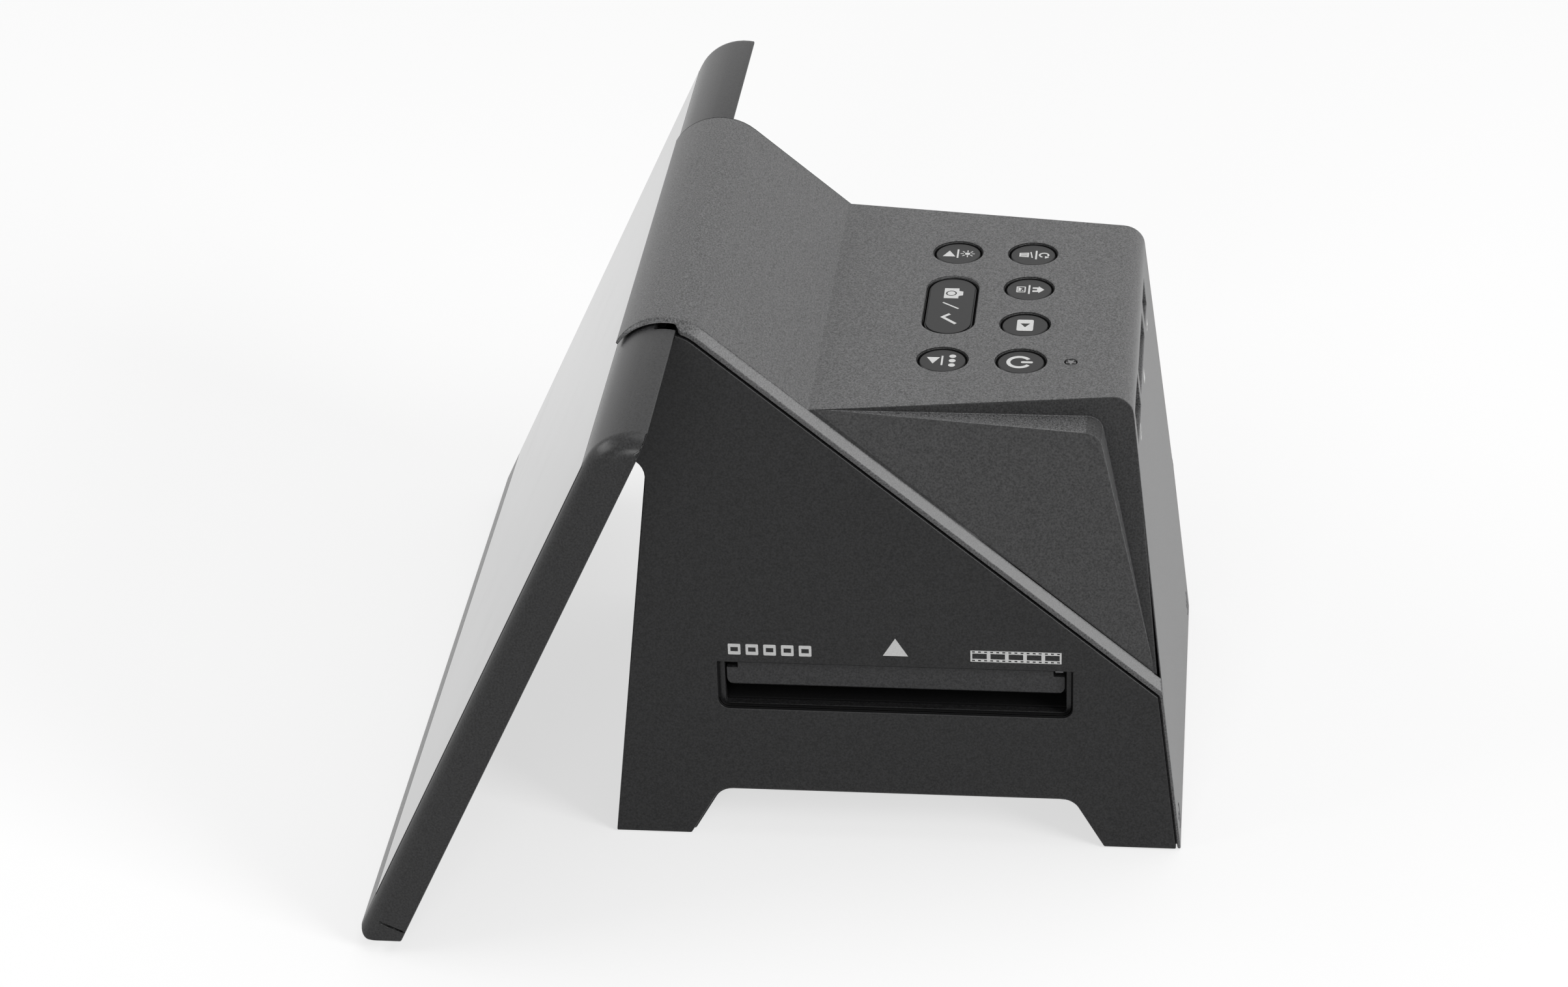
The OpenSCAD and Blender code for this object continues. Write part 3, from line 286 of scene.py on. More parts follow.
def solder_mask(name, colour, pad_colour=(0.75, 0.73, 0.66, 1), tracks_per_metre=260, pads_per_metre=420):
    """Lacquer over a web of copper tracks, with small bright pads."""
    made, tree, shader, place = blank(name)
    web = add(tree, "ShaderNodeTexVoronoi", {"Vector": place, "Scale": tracks_per_metre, "Randomness": 0.8},
              feature="DISTANCE_TO_EDGE").outputs["Distance"]
    dots = add(tree, "ShaderNodeTexVoronoi", {"Vector": place, "Scale": pads_per_metre, "Randomness": 0.6})
    tracks = ramp(tree, web, shade(colour, 2.1), shade(colour, 1.0), start=0.05, end=0.09)
    pads = ramp(tree, dots.outputs["Distance"], pad_colour, (0, 0, 0, 1), start=0.12, end=0.15)
    tree.links.new(blend(tree, "LIGHTEN", tracks, pads), shader.inputs["Base Color"])
    shader.inputs["Roughness"].default_value = 0.28
    bump(tree, shader, web, depth=0.02 * mm, strength=0.6)
    return made


def cover_glass(name, border, panel, half_width, half_height, centre):
    """Gloss glass with a black border, over a switched-off display panel that is a little lighter."""
    made, tree, shader, place = blank(name)
    turn = Euler((display_lean, 0, 0))
    shift = -(turn.to_matrix() @ hinge)
    local = add(tree, "ShaderNodeMapping", {"Vector": place, "Location": shift, "Rotation": turn})
    split = add(tree, "ShaderNodeSeparateXYZ", {0: local.outputs[0]})
    aside = calculate(tree, "ABSOLUTE", split.outputs["X"])
    height = calculate(tree, "ABSOLUTE", calculate(tree, "SUBTRACT", split.outputs["Z"], centre))
    shown = calculate(tree, "MULTIPLY", calculate(tree, "LESS_THAN", aside, half_width),
                      calculate(tree, "LESS_THAN", height, half_height))
    dark, lighter = shade(border, 1), shade(panel, 1)
    tree.links.new(ramp(tree, shown, dark, lighter, start=0.0, end=1.0), shader.inputs["Base Color"])
    smear = noise(tree, place, 24 * mm, detail=4.0, roughness=0.6)
    tree.links.new(spread(tree, smear, 0.03, 0.09), shader.inputs["Roughness"])
    shader.inputs["IOR"].default_value = 1.52
    return made


def gloss_plastic(name, colour, roughness=0.2):
    made, tree, shader, place = blank(name)
    haze = noise(tree, place, 3 * mm, detail=3.0)
    tree.links.new(ramp(tree, haze, shade(colour, 0.94), shade(colour, 1.05)), shader.inputs["Base Color"])
    tree.links.new(spread(tree, haze, roughness - 0.04, roughness + 0.06), shader.inputs["Roughness"])
    return made


def lens_glass(name, colour):
    """Clear glass with an uneven tint of coating."""
    made, tree, shader, place = blank(name)
    coat = noise(tree, place, 6 * mm)
    tree.links.new(ramp(tree, coat, shade(colour, 0.9), shade(colour, 1.1)), shader.inputs["Base Color"])
    shader.inputs["Roughness"].default_value = 0.03
    shader.inputs["Transmission Weight"].default_value = 0.85
    shader.inputs["IOR"].default_value = 1.6
    return made


def printed_ink(name, colour):
    """Screen-printed ink, a little uneven."""
    made, tree, shader, place = blank(name)
    cover = noise(tree, place, 0.3 * mm, detail=3.0)
    tree.links.new(ramp(tree, cover, shade(colour, 0.9), shade(colour, 1.04)), shader.inputs["Base Color"])
    shader.inputs["Roughness"].default_value = 0.6
    shader.inputs["Specular IOR Level"].default_value = 0.3
    return made


finish_of = {
    "shell_grey": moulded_plastic("shell_grey", (0.077, 0.077, 0.078), roughness=0.38, specular=0.44,
                                  grain=0.36 * mm, depth=0.02 * mm, speckle=0.9),
    "panel_black": moulded_plastic("panel_black", (0.018, 0.018, 0.0185), roughness=0.36, specular=0.25,
                                   depth=0.01 * mm),
    "display_grey": moulded_plastic("display_grey", (0.0195, 0.0195, 0.02), roughness=0.3, specular=0.3,
                                    depth=0.01 * mm),
    "inner_black": moulded_plastic("inner_black", (0.006, 0.006, 0.0062), roughness=0.65, specular=0.12,
                                   grain=0.4 * mm, speckle=0.2),
    "button_black": moulded_plastic("button_black", (0.008, 0.008, 0.0082), roughness=0.34, specular=0.28,
                                    grain=0.25 * mm, depth=0.01 * mm, speckle=0.2),
    "foot_rubber": soft_rubber("foot_rubber", (0.02, 0.02, 0.02)),
    "display_glass": cover_glass("display_glass", (0.006, 0.006, 0.007), (0.02, 0.021, 0.024),
                                 half_width=78 * mm, half_height=50.5 * mm, centre=-61.5 * mm),
    "lcd_dark": gloss_plastic("lcd_dark", (0.02, 0.022, 0.026)),
    "screw_steel": plated_steel("screw_steel", (0.13, 0.13, 0.135), roughness=0.4, brushing=(1, 1, 6)),
    "hinge_steel": plated_steel("hinge_steel", (0.38, 0.38, 0.39), roughness=0.4),
    "socket_steel": plated_steel("socket_steel", (0.55, 0.55, 0.56), roughness=0.28, brushing=(1, 30, 1)),
    "circuit_board": solder_mask("circuit_board", (0.02, 0.12, 0.05)),
    "white_plastic": gloss_plastic("white_plastic", (0.78, 0.78, 0.76), roughness=0.4),
    "light_pipe": gloss_plastic("light_pipe", (0.16, 0.16, 0.162), roughness=0.35),
    "lens_glass": lens_glass("lens_glass", (0.6, 0.66, 0.72)),
}
# The side pads and the step round them: the shell's grey darkened, painted shade, and rougher
pad_painted_shade_grey = moulded_plastic("pad_painted_shade_grey", (0.05, 0.05, 0.0505), roughness=0.55, specular=0.25, speckle=0.5)
# The leaning side facets over the pads: the shell's grey darkened, painted shade
facet_painted_shade_grey = moulded_plastic("facet_painted_shade_grey", (0.024, 0.024, 0.0245), roughness=0.5, specular=0.25)
# The dust flaps: the panel's black made lighter, painted light against the shade of the slot they sit in
flap_painted_light_black = moulded_plastic("flap_painted_light_black", (0.03, 0.03, 0.031), roughness=0.55, specular=0.3)
white_ink = printed_ink("white_ink", (0.64, 0.64, 0.635))
black_ink = printed_ink("black_ink", (0.006, 0.006, 0.006))


def paint_nodes():
    for name, node in nodes.items():
        finish = finish_of[slot_of[name]]
        if not node.data.materials:
            node.data.materials.append(finish)
        for place in node.material_slots:
            place.material = finish


# ---- mouldings: the frame's shapes with the small radii that moulded edges have ----
sharp_angle = radians(26)
flat_angle = radians(0.4)
merge_distance = 0.002 * mm
inward_match = 0.9          # cosine between the way out of the node and a face's normal
shell_radius = 0.3 * mm
case_radii = {"base_shell": 0.25 * mm, "display_frame": 0.35 * mm, "display_glass": 0.15 * mm,
              "display_rear_cover": 0.25 * mm}
flap_radius = 0.15 * mm
cap_radius = 0.12 * mm


def plain_copy(node):
    """The node's faces, merged and with flat areas whole, ready for a bevel."""
    mesh = nodes[node].data.copy()
    mesh.name = node + "_moulding"
    bm = bmesh.new()
    bm.from_mesh(mesh)
    bmesh.ops.remove_doubles(bm, verts=bm.verts, dist=merge_distance)
    bmesh.ops.dissolve_limit(bm, angle_limit=flat_angle, verts=bm.verts, edges=bm.edges)
    bm.to_mesh(mesh)
    bm.free()
    if "custom_normal" in mesh.attributes:
        mesh.attributes.remove(mesh.attributes["custom_normal"])
    mesh.materials.clear()
    return mesh


def keep_to_solid(mesh, node, slack):
    """Brings back to the node what a bevel threw outside it, or inside by more than the slack."""
    solid = nodes[node].data
    tree = BVHTree.FromPolygons([v.co for v in solid.vertices], [p.vertices for p in solid.polygons])
    for vertex in mesh.vertices:
        near, normal, _, distance = tree.find_nearest(vertex.co)
        inside = (near - vertex.co).dot(normal) >= inward_match * distance
        if not inside or distance > slack:
            vertex.co = near


def moulding(node, radius, finish=None, change=None, more=()):
    """Stands for a node, with rounded edges.

    change works on the finished mesh. more holds pairs: a test, and the finish of the faces that pass it.
    """
    mesh = plain_copy(node)
    piece = put_in_scene(node + "_moulding", mesh)
    mesh.materials.append(finish or finish_of[slot_of[node]])
    for index, (chosen, other) in enumerate(more, 1):
        mesh.materials.append(other)
        for face in mesh.polygons:
            if chosen(face):
                face.material_index = index
    mesh.shade_smooth()
    mesh.set_sharp_from_angle(angle=sharp_angle)
    edge = piece.modifiers.new("edge_radius", "BEVEL")
    edge.width = radius
    edge.segments = 2
    edge.limit_method = "ANGLE"
    edge.angle_limit = sharp_angle
    edge.use_clamp_overlap = False
    edge.harden_normals = True
    edge.miter_outer = "MITER_ARC"
    mesh = worked_out(piece)
    piece.modifiers.remove(edge)
    piece.data = mesh
    keep_to_solid(mesh, node, slack=2 * radius)
    if change:
        change(mesh)
    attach(piece, nodes[node]["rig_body"])
    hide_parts(node)


# ---- outlines, in millimetres, with X to the right and Y up as the reader sees them ----
mitre_limit = 0.3           # a sharp corner of a stroke is cut short where the cosine is less than this


def disc(x, y, r, steps=28):
    return [(x + r * cos(2 * pi * i / steps), y + r * sin(2 * pi * i / steps)) for i in range(steps)]


def box(x0, y0, x1, y1):
    return [(x0, y0), (x1, y0), (x1, y1), (x0, y1)]


def arc(x, y, r, start, end, steps=22):
    turns = [radians(start + (end - start) * i / steps) for i in range(steps + 1)]
    return [(x + r * cos(a), y + r * sin(a)) for a in turns]


def rounded(x0, y0, x1, y1, r):
    corners = [(x1 - r, y0 + r, -90), (x1 - r, y1 - r, 0), (x0 + r, y1 - r, 90), (x0 + r, y0 + r, 180)]
    return [point for x, y, start in corners for point in arc(x, y, r, start, start + 90, steps=5)]


def stroke(points, width):
    """The outline of a line of that width through the points, with mitred corners."""
    points = [Vector(point) for point in points]
    steps = [(end - start).normalized() for start, end in zip(points, points[1:])]
    left, right = [], []
    for point, into, out in zip(points, steps[:1] + steps, steps + steps[-1:]):
        normal = Vector((-(into.y + out.y), into.x + out.x)).normalized()
        reach = width / 2 / max(mitre_limit, normal.dot(Vector((-into.y, into.x))))
        left.append(point + normal * reach)
        right.append(point - normal * reach)
    return left + right[::-1]


def placed(outlines, y, x=0, factor=1):
    """The outlines made larger by the factor, and then moved."""
    return [[(px * factor + x, py * factor + y) for px, py in outline] for outline in outlines]


def slide_mounts(count, pitch, size):
    """A row of framed slides."""
    row = []
    for i in range(count):
        x = (i - (count - 1) / 2) * pitch
        row += [rounded(x - size / 2, -size / 2, x + size / 2, size / 2, 0.25),
                box(x - size * 0.3, -size * 0.2, x + size * 0.3, size * 0.2)]
    return row


def film_strip(length, height, frames, holes):
    """A strip of film with its pictures and the perforations along both edges."""
    strip = [box(-length / 2, -height / 2, length / 2, height / 2)]
    step = length / frames
    for i in range(frames):
        x = (i - (frames - 1) / 2) * step
        strip.append(box(x - step * 0.4, -height * 0.24, x + step * 0.4, height * 0.24))
    step = length / holes
    for i in range(holes):
        x = (i - (holes - 1) / 2) * step
        for y in (-height * 0.38, height * 0.38):
            strip.append(box(x - step * 0.24, y - height * 0.06, x + step * 0.24, y + height * 0.06))
    return strip


def ray(turn, start, end, width):
    return stroke([(start * cos(turn), start * sin(turn)), (end * cos(turn), end * sin(turn))], width)


# Pictograms of the buttons, each about its own centre
divider = [box(-2.2, -0.21, 2.2, 0.21)]
arrow_left = [[(-1.5, 0), (1.5, -1.5), (1.5, 1.5)]]
arrow_right = [[(1.5, 0), (-1.5, -1.5), (-1.5, 1.5)]]
sun = [disc(0, 0, 0.62)] + [ray(pi * i / 4, 0.95, 1.7, 0.26) for i in range(8)]
three_dots = [disc(2.1 * i, 0, 0.78) for i in (-1, 0, 1)]
waste_bin = ([[(-1.15, 0.75), (-0.95, -1.5), (0.95, -1.5), (1.15, 0.75)]]
             + [box(0.55 * i - 0.1, -1.15, 0.55 * i + 0.1, 0.4) for i in (-1, 0, 1)]
             + [stroke([(-1.5, 1.15), (1.5, 1.6)], 0.3)])
turn_arrow = [stroke(arc(0, 0, 1.05, 60, 340), 0.42), [(0.5, 0.25), (1.7, 0.25), (1.15, 1.25)]]
picture = [rounded(-1.8, -1.35, 1.8, 1.35, 0.3), rounded(-1.45, -1.0, 1.45, 1.0, 0.15),
           [(-1.25, -0.8), (-0.35, 0.4), (0.2, -0.25), (0.55, 0.1), (1.25, -0.8)],
           disc(0.75, 0.5, 0.24, 14)]
house = [[(-1.9, 0.1), (0, 1.6), (1.9, 0.1), (1.3, 0.1), (1.3, -1.5), (0.45, -1.5), (0.45, -0.3),
          (-0.45, -0.3), (-0.45, -1.5), (-1.3, -1.5), (-1.3, 0.1)]]
play_box = [rounded(-2.7, -1.9, 2.7, 1.9, 0.5), [(-0.9, -1.15), (1.0, 0), (-0.9, 1.15)]]
power = [stroke(arc(0, 0, 2.45, 122, 418, 36), 0.9), rounded(-0.42, 0.4, 0.42, 3.1, 0.35)]
still_camera = [[(-2.5, -2.0), (2.5, -2.0), (2.5, 1.4), (1.3, 1.4), (0.9, 2.4), (-0.9, 2.4), (-1.3, 1.4),
                 (-2.5, 1.4)], disc(0, -0.35, 1.3), disc(0, -0.35, 0.95)]
slash = [stroke([(-1.5, -1.9), (1.5, 1.9)], 0.45)]
check_mark = [stroke([(-2.3, 0.1), (-0.7, -1.5), (2.5, 1.7)], 0.75)]
button_marks = {
    "button_left": placed(arrow_left, -2.15) + placed(divider, -0.1) + placed(sun, 2.2),
    "button_right": placed(arrow_right, -2.15) + placed(divider, -0.1) + placed(three_dots, 2.2),
    "button_delete": placed(waste_bin, -1.75) + placed(divider, 0.75) + placed(turn_arrow, 2.6),
    "button_home": placed(picture, -1.9, factor=0.8) + divider + placed(house, 2.1, factor=0.88),
    "button_play": play_box,
    "button_power": placed(power, -0.4),
    "button_ok": (placed(still_camera, 0.1, x=-6.3) + placed(slash, 0, x=-0.1)
                  + placed(check_mark, 0, x=6.4)),
}

# Marks beside the film slot: outlines, how far from its middle, and height
slot_marks = {
    "insert_arrow_print": ([[(-2.9, 0), (2.9, 0), (0, 4.7)]], 0.4 * mm, 51.5 * mm),
    "slide_print": (slide_mounts(count=5, pitch=4.1, size=2.9), -28.6 * mm, 52.1 * mm),
    "film_print": (film_strip(length=20.8, height=3.0, frames=5, holes=15), 28.0 * mm, 52.1 * mm),
}

# Marks under the ports: a plug, a card and a screen
port_marks_z = 98.6 * mm
port_marks = {
    "usb_socket": [rounded(-0.9, -0.9, 1.5, 0.9, 0.3), box(1.5, -0.7, 2.4, -0.4), box(1.5, 0.4, 2.4, 0.7),
                   stroke([(-2.6, 0), (-0.8, 0)], 0.35)],
    "card_socket": [[(-1.6, -1.3), (1.6, -1.3), (1.6, 1.3), (-0.9, 1.3), (-1.6, 0.6)]]
                   + [box(-0.8 + 0.7 * i, 0.35, -0.45 + 0.7 * i, 0.95) for i in range(4)],
    "video_socket": [rounded(-2.1, -0.9, 2.1, 1.5, 0.25), rounded(-1.7, -0.5, 1.7, 1.1, 0.1),
                     box(-1.0, -1.5, 1.0, -1.2)],
}

# Dark arcs round the status light, with light spokes between them
status_ring = [stroke(arc(0, 0, 0.92, turn + 12, turn + 60, 8), 0.46) for turn in range(0, 360, 72)]


# ---- prints ----
ink_height = 0.03         # in millimetres, as the outlines are
cap_drop = 1.15 * mm      # the caps' tops lie this far below their nodes' tops


def surface_at(place, right, up):
    """A flat place whose X and Y are the reader's right and up."""
    right, up = Vector(right).normalized(), Vector(up).normalized()
    turn = Matrix((right, up, right.cross(up))).transposed().to_4x4()
    return Matrix.Translation(place) @ turn


def top_of(node, drop=0.0):
    """A level place in the middle of a node's top, or lower by drop."""
    centre = middle(node)
    centre.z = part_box(node)[1].z - drop
    return surface_at(centre, right=(1, 0, 0), up=(0, 1, 0))


def print_on(name, outlines, surface, body, ink=white_ink):
    """Prints the outlines on a surface. An outline inside another one is a hole in it."""
    curve = bpy.data.curves.new(name, "CURVE")
    curve.dimensions = "2D"
    curve.fill_mode = "BOTH"
    curve.extrude = ink_height / 2
    for outline in outlines:
        spline = curve.splines.new("POLY")
        spline.points.add(len(outline) - 1)
        for point, (x, y) in zip(spline.points, outline):
            point.co = (x, y, 0, 1)
        spline.use_cyclic_u = True
    drawn = put_in_scene(name + "_outline", curve)
    mesh = worked_out(drawn)
    bpy.data.objects.remove(drawn)
    mesh.transform(surface @ Matrix.Scale(mm, 4) @ Matrix.Translation((0, 0, ink_height / 2)))
    mesh.materials.clear()
    mesh.materials.append(ink)
    piece = put_in_scene(name, mesh)
    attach(piece, body)


def print_marks():
    for button, outlines in button_marks.items():
        print_on(button + "_print", outlines, top_of(button, cap_drop), nodes[button]["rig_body"])
    # Beside the film slot, read from the right
    panel_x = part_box("right_side_panel")[1].x
    slot_y = middle("right_dust_flap").y
    for name, (outlines, along, height) in slot_marks.items():
        place = Vector((panel_x, slot_y + along, height))
        print_on(name, outlines, surface_at(place, right=(0, 1, 0), up=(0, 0, 1)), "body")
    # Under the three ports, read from behind
    low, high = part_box("top_shell")
    wall_y = high.y - tan(rear_lean) * (port_marks_z - low.z)
    up = (0, -sin(rear_lean), cos(rear_lean))
    for socket, outlines in port_marks.items():
        place = Vector((middle(socket).x, wall_y, port_marks_z))
        print_on(socket + "_print", outlines, surface_at(place, right=(-1, 0, 0), up=up), "body")
    print_on("status_ring", status_ring, top_of("status_light"), "body", black_ink)


# ---- what repeats: small pieces that one tree makes ----
def new_tree(name, inputs):
    """A geometry tree with named inputs, and the sockets that give them."""
    tree = bpy.data.node_groups.new(name, "GeometryNodeTree")
    face = tree.interface
    face.new_socket("Geometry", in_out="INPUT", socket_type="NodeSocketGeometry")
    for label, kind in inputs.items():
        face.new_socket(label, in_out="INPUT", socket_type="NodeSocket" + kind)
    face.new_socket("Geometry", in_out="OUTPUT", socket_type="NodeSocketGeometry")
    return tree, tree.nodes.new("NodeGroupInput").outputs


def end_tree(tree, points, piece, finish, **turned):
    """Puts a piece on each point, as plain geometry with its finish."""
    copies = add(tree, "GeometryNodeInstanceOnPoints", {"Points": points, "Instance": piece, **turned})
    real = add(tree, "GeometryNodeRealizeInstances", {"Geometry": copies.outputs[0]})
    dressed = add(tree, "GeometryNodeSetMaterial", {"Geometry": real.outputs[0], "Material": finish})
    add(tree, "NodeGroupOutput", {0: dressed.outputs[0]})
    return tree


def grown(name, start, tree, values):
    """An object with the plain mesh that a tree makes of a start mesh and the values of its inputs."""
    maker = put_in_scene(name, start)
    rule = maker.modifiers.new("tree", "NODES")
    rule.node_group = tree
    ids = {item.name: item.identifier for item in tree.interface.items_tree if item.in_out == "INPUT"}
    for label, value in values.items():
        rule[ids[label]] = value
    mesh = worked_out(maker)
    maker.modifiers.remove(rule)
    maker.data = mesh
    return maker


def vector(tree, x=0.0, y=0.0, z=0.0):
    return add(tree, "ShaderNodeCombineXYZ", {"X": x, "Y": y, "Z": z}).outputs[0]


# Contacts of each socket: count, pitch, size of one, and height above the port's middle, in millimetres
contact_rows = {
    "usb_socket": (5, 1.2, (0.55, 4.5, 0.12), 0.46),
    "card_socket": (9, 2.5, (1.2, 5.0, 0.12), -1.44),
    "video_socket": (10, 1.0, (0.5, 5.0, 0.12), 0.46),
}
port_z = 104.6 * mm
contact_inset = 5.5 * mm


def row_tree(name, finish):
    """Blocks in a row along X: count, pitch and block size are inputs."""
    tree, given = new_tree(name, {"Count": "Int", "Pitch": "Float", "Block": "Vector"})
    step = vector(tree, x=given["Pitch"])
    line = add(tree, "GeometryNodeMeshLine", {"Count": given["Count"], "Offset": step})
    block = add(tree, "GeometryNodeMeshCube", {"Size": given["Block"]})
    return end_tree(tree, line.outputs[0], block.outputs[0], finish)


def socket_contacts():
    tree = row_tree("contact_row", finish_of["socket_steel"])
    for socket, (count, pitch, block, rise) in contact_rows.items():
        start = Vector((middle(socket).x - (count - 1) * pitch * mm / 2,
                        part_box(socket)[1].y - contact_inset, port_z + rise * mm))
        name = socket + "_contacts"
        row = grown(name, bpy.data.meshes.new(name), tree,
                    {"Count": count, "Pitch": pitch * mm, "Block": [size * mm for size in block]})
        row.data.transform(Matrix.Translation(start))
        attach(row, "body")


blade_length, blade_width = 1.15, 0.24    # of the cross recess, as shares of the head's radius


def screw_tree(name, finish):
    """Screws on the given points: a round head with a cross recess, and the shank under it."""
    tree, given = new_tree(name, {"Head radius": "Float", "Head height": "Float", "Shank radius": "Float",
                                  "Shank length": "Float", "Turn": "Rotation"})
    radius, height, length = given["Head radius"], given["Head height"], given["Shank length"]
    head = add(tree, "GeometryNodeMeshCylinder", {"Vertices": 32, "Radius": radius, "Depth": height})
    sunk = vector(tree, z=calculate(tree, "MULTIPLY", height, -0.5))
    head = add(tree, "GeometryNodeTransform", {"Geometry": head.outputs[0], "Translation": sunk})
    cut = add(tree, "GeometryNodeMeshBoolean", {"Mesh 1": head.outputs[0]}, operation="DIFFERENCE",
              solver="EXACT")
    for across, along in ((blade_length, blade_width), (blade_width, blade_length)):
        size = vector(tree, calculate(tree, "MULTIPLY", radius, across),
                      calculate(tree, "MULTIPLY", radius, along), height)
        blade = add(tree, "GeometryNodeMeshCube", {"Size": size})
        tree.links.new(blade.outputs[0], cut.inputs["Mesh 2"])
    shank = add(tree, "GeometryNodeMeshCylinder", {"Vertices": 20, "Radius": given["Shank radius"],
                                                   "Depth": length})
    half = calculate(tree, "MULTIPLY", length, -0.5)
    under = vector(tree, z=calculate(tree, "SUBTRACT", half, height))
    shank = add(tree, "GeometryNodeTransform", {"Geometry": shank.outputs[0], "Translation": under})
    whole = add(tree, "GeometryNodeJoinGeometry")
    tree.links.new(cut.outputs[0], whole.inputs[0])
    tree.links.new(shank.outputs[0], whole.inputs[0])
    return end_tree(tree, given["Geometry"], whole.outputs[0], finish, Rotation=given["Turn"])


def solids_of(node):
    """The points of each separate solid of a node."""
    bm = bmesh.new()
    bm.from_mesh(nodes[node].data)
    bmesh.ops.remove_doubles(bm, verts=bm.verts, dist=merge_distance)
    left, found = set(bm.verts), []
    for start in bm.verts:
        if start not in left:
            continue
        left.discard(start)
        group, front = [start.co.copy()], [start]
        while front:
            for edge in front.pop().link_edges:
                for vertex in edge.verts:
                    if vertex in left:
                        left.discard(vertex)
                        front.append(vertex)
                        group.append(vertex.co.copy())
        found.append(group)
    bm.free()
    return found


rim_depth = 0.02 * mm
rim_points = 8


def screw_sizes(points, outward):
    """A plain screw's head centre, head radius, shank radius and length, if its head faces outward."""
    reach = [point.dot(outward) for point in points]
    top, foot = max(reach), min(reach)
    rim = [point for point, far in zip(points, reach) if top - far < rim_depth]
    low_rim = [point for point, far in zip(points, reach) if far - foot < rim_depth]
    if len(rim) < rim_points or len(low_rim) < rim_points:
        return None
    centre = sum(rim, Vector()) / len(rim)
    base = sum(low_rim, Vector()) / len(low_rim)
    return (centre, max((point - centre).length for point in rim),
            max((point - base).length for point in low_rim), top - foot)


def cross_screws(name, node, tree, outward, head_height, sink=0.0, facing=None):
    """Makes cross-recess screws of a node's plain ones that face outward.

    They lie deeper by sink, and face another way if facing gives one.
    """
    outward = Vector(outward).normalized()
    facing = Vector(facing or outward).normalized()
    found = [sizes for sizes in (screw_sizes(points, outward) for points in solids_of(node)) if sizes]
    centres, head_radii, shank_radii, lengths = zip(*found)
    mesh = bpy.data.meshes.new(name)
    mesh.from_pydata([centre - facing * sink for centre in centres], [], [])
    turn = facing.to_track_quat("Z", "Y").to_euler()
    screws = grown(name, mesh, tree, {
        "Head radius": head_radii[0], "Head height": head_height, "Shank radius": shank_radii[0],
        "Shank length": lengths[0] - sink - head_height, "Turn": turn})
    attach(screws, nodes[node]["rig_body"])
    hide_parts(node)


# ---- the buttons and their holes ----
hole_tightening = 0.5 * mm
cap_clearance = 0.05 * mm
hole_reach, hole_depth = 6.9 * mm, 3 * mm          # what is drawn in round a hole
cap_reach, cap_depth = 6.2 * mm, 1.8 * mm          # and of a cap
cap_top_depth = 0.5 * mm
wall_reach, wall_depth = 6.6 * mm, 2.6 * mm        # the wall of a hole, painted black as shade
wall_tilt = 0.3                                    # its faces' normals rise and fall no more than this


def round_line(button):
    """A button's centre, and half the length of its straight part."""
    low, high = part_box(button)
    return middle(button), (high.x - low.x - (high.y - low.y)) / 2


button_lines = {button: round_line(button) for button in button_marks}


def in_a_hole(face):
    """Whether a face is the upright wall of a button hole, which gets painted shade in black."""
    if abs(face.normal.z) > wall_tilt or face.center.z < deck_z - wall_depth:
        return False
    for centre, half_length in button_lines.values():
        aside = max(0, abs(face.center.x - centre.x) - half_length)
        if hypot(aside, face.center.y - centre.y) < wall_reach:
            return True
    return False


def narrow(mesh, button, reach, amount, depth):
    """Draws in what lies within reach of a button's centre line and less than depth under the deck."""
    centre, half_length = button_lines[button]
    for vertex in mesh.vertices:
        aside = Vector((vertex.co.x - centre.x, vertex.co.y - centre.y))
        aside.x -= max(-half_length, min(half_length, aside.x))
        if vertex.co.z > deck_z - depth and 0 < aside.length < reach:
            step = aside.normalized() * amount
            vertex.co.x -= step.x
            vertex.co.y -= step.y


def draw_in_holes(mesh):
    for button in button_marks:
        narrow(mesh, button, hole_reach, hole_tightening, hole_depth)


def draw_in_cap(mesh, button):
    """The cap sinks a little below the deck and follows the tighter hole."""
    narrow(mesh, button, cap_reach, hole_tightening - cap_clearance, cap_depth)
    for vertex in mesh.vertices:
        if vertex.co.z > deck_z - cap_top_depth:
            vertex.co.z -= cap_drop


# ---- faces that get painted shade: darker grey or black where their part lies in shade ----
side_lean = Vector((0.979, 0.134, 0.156))    # normal of the leaning facet over the right side pad
facet_match, pad_match = 0.9995, 0.999       # cosines, for faces that look the facet's or the pad's way
pad_x = (51.5 * mm, 52.1 * mm)               # between these lies the flat of a side pad
pad_step_x = 38 * mm                         # the step round a pad reaches in to here
pad_top_z = deck_z - 3 * mm
step_turn = 0.9                              # the step's faces look less sideways and rearwards than this
panel_skin_x = 54.1 * mm                     # outside it lies a side panel's skin
skin_match = 0.95                            # which looks more sideways than this
slot_margin = Vector((6, 6, 6)) * mm
flap_low, flap_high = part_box("right_dust_flap")
slot_low, slot_high = flap_low - slot_margin, flap_high + slot_margin


def on_side_facet(face):
    return side_lean.dot((abs(face.normal.x), face.normal.y, face.normal.z)) > facet_match


def on_side_pad(face):
    return abs(face.normal.x) > pad_match and pad_x[0] < abs(face.center.x) < pad_x[1]


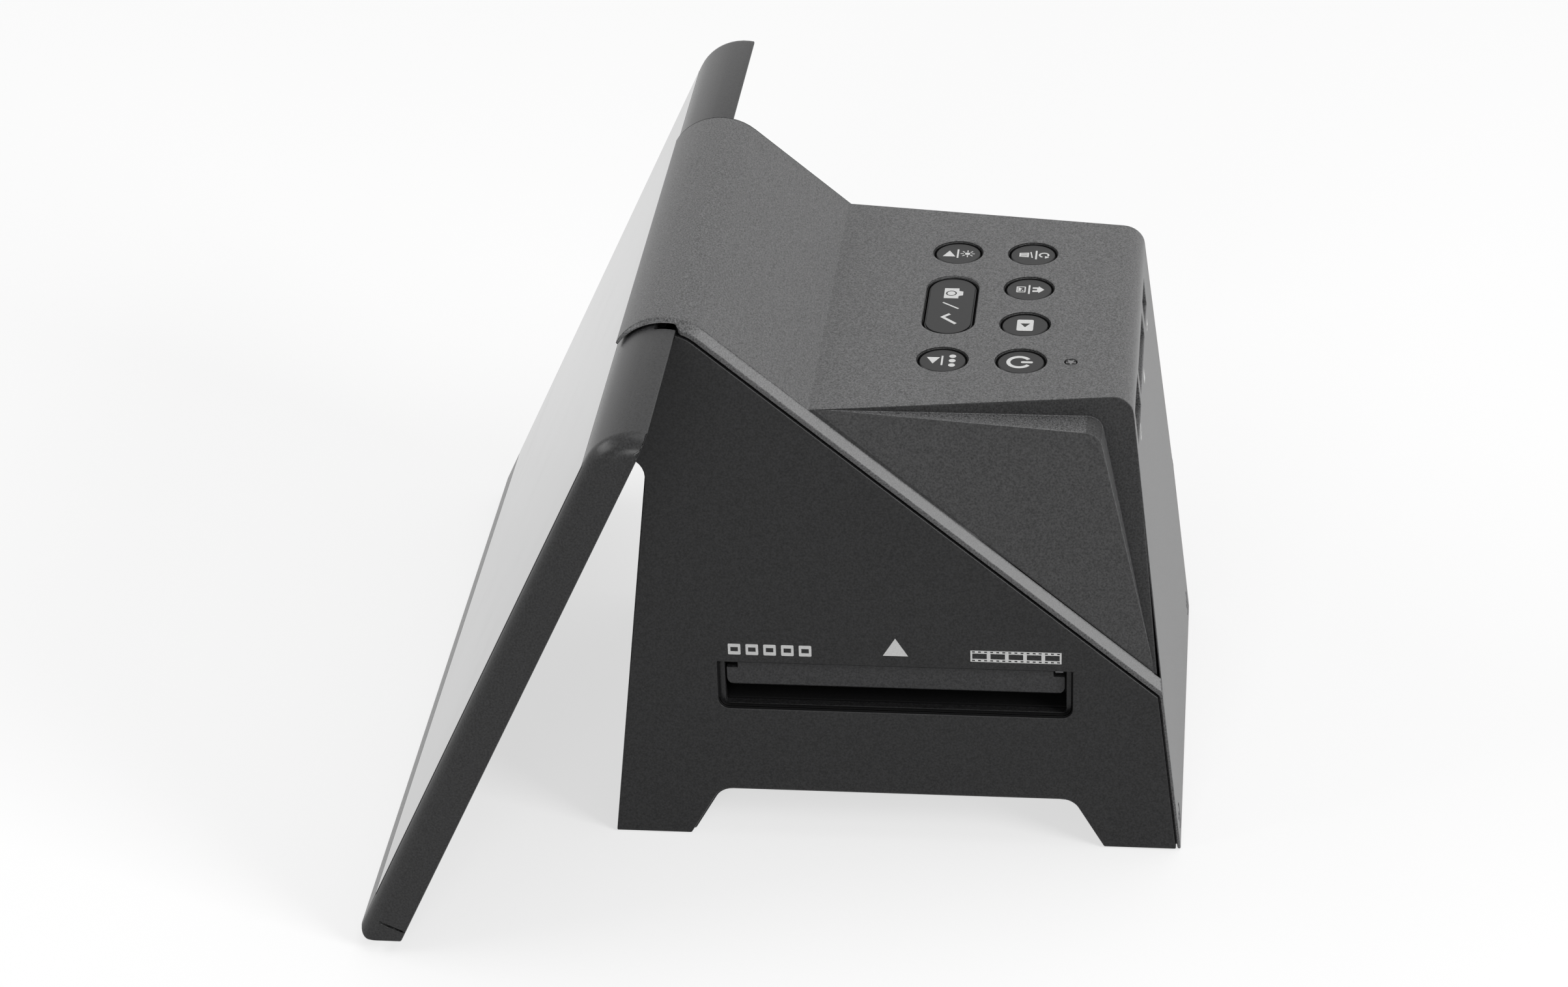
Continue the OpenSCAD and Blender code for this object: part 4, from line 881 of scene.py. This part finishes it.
def round_side_pad(face):
    return (pad_step_x < abs(face.center.x) < pad_x[1] and face.center.z < pad_top_z
            and abs(face.normal.x) < step_turn and face.normal.y < step_turn)


def in_the_slot(face):
    """Whether a face of a side panel lines its film slot, which gets painted shade in black."""
    return (slot_low.z < face.center.z < slot_high.z and slot_low.y < face.center.y < slot_high.y
            and (abs(face.normal.x) < skin_match or abs(face.center.x) < panel_skin_x))


# ---- the part, dressed ----
def dress_shells():
    black = finish_of["inner_black"]
    # The button holes' walls get the inner black as painted shade, and the facets, pads and pad steps
    # darker greys as painted shade
    moulding("top_shell", shell_radius, change=draw_in_holes,
             more=[(on_side_facet, facet_painted_shade_grey), (on_side_pad, pad_painted_shade_grey), (round_side_pad, pad_painted_shade_grey),
                   (in_a_hole, black)])
    for node, radius in case_radii.items():
        moulding(node, radius)
    # The film slots' lining gets the inner black as painted shade
    for node in ("right_side_panel", "left_side_panel"):
        moulding(node, shell_radius, more=[(in_the_slot, black)])
    for node in ("right_dust_flap", "left_dust_flap"):
        moulding(node, flap_radius, finish=flap_painted_light_black)


def dress_buttons():
    for button in button_marks:
        moulding(button, cap_radius, change=lambda mesh: draw_in_cap(mesh, button))


def dress_screws():
    tree = screw_tree("cross_screw", finish_of["screw_steel"])
    cross_screws("display_screws_0", "display_screws", tree, display_back, head_height=1.0 * mm)
    # The lower rear ones are turned square to the leaning wall and sunk into it
    cross_screws("body_screws_0", "body_screws", tree, (0, cos(rear_lean), -sin(rear_lean)),
                 head_height=0.8 * mm, sink=0.8 * mm, facing=(0, cos(rear_lean), sin(rear_lean)))
    cross_screws("body_screws_1", "body_screws", tree, (0, -1, 0), head_height=0.9 * mm)


paint_nodes()
dress_shells()
dress_buttons()
print_marks()
socket_contacts()
dress_screws()

# ---- studio ----
set_camera()
set_world(ambient=0.25)
set_floor(size=8.0, bounce=0.4, lift=0.65)
set_lamp("overhead", (-0.3, 0.4, 1.65), size=(1.5, 1.5), power=10.2, aim=(0, 0, 0.05))
set_lamp("front", (0.1, -1.5, 1.1), size=(1.6, 0.5), power=12)
set_lamp("rear_right", (0.8, 1.3, 0.8), size=(0.6, 0.6), power=17)
set_lamp("right", (2.0, -0.25, 0.72), size=(0.5, 0.6), power=8)
bpy.context.scene.view_settings.view_transform = "Standard"
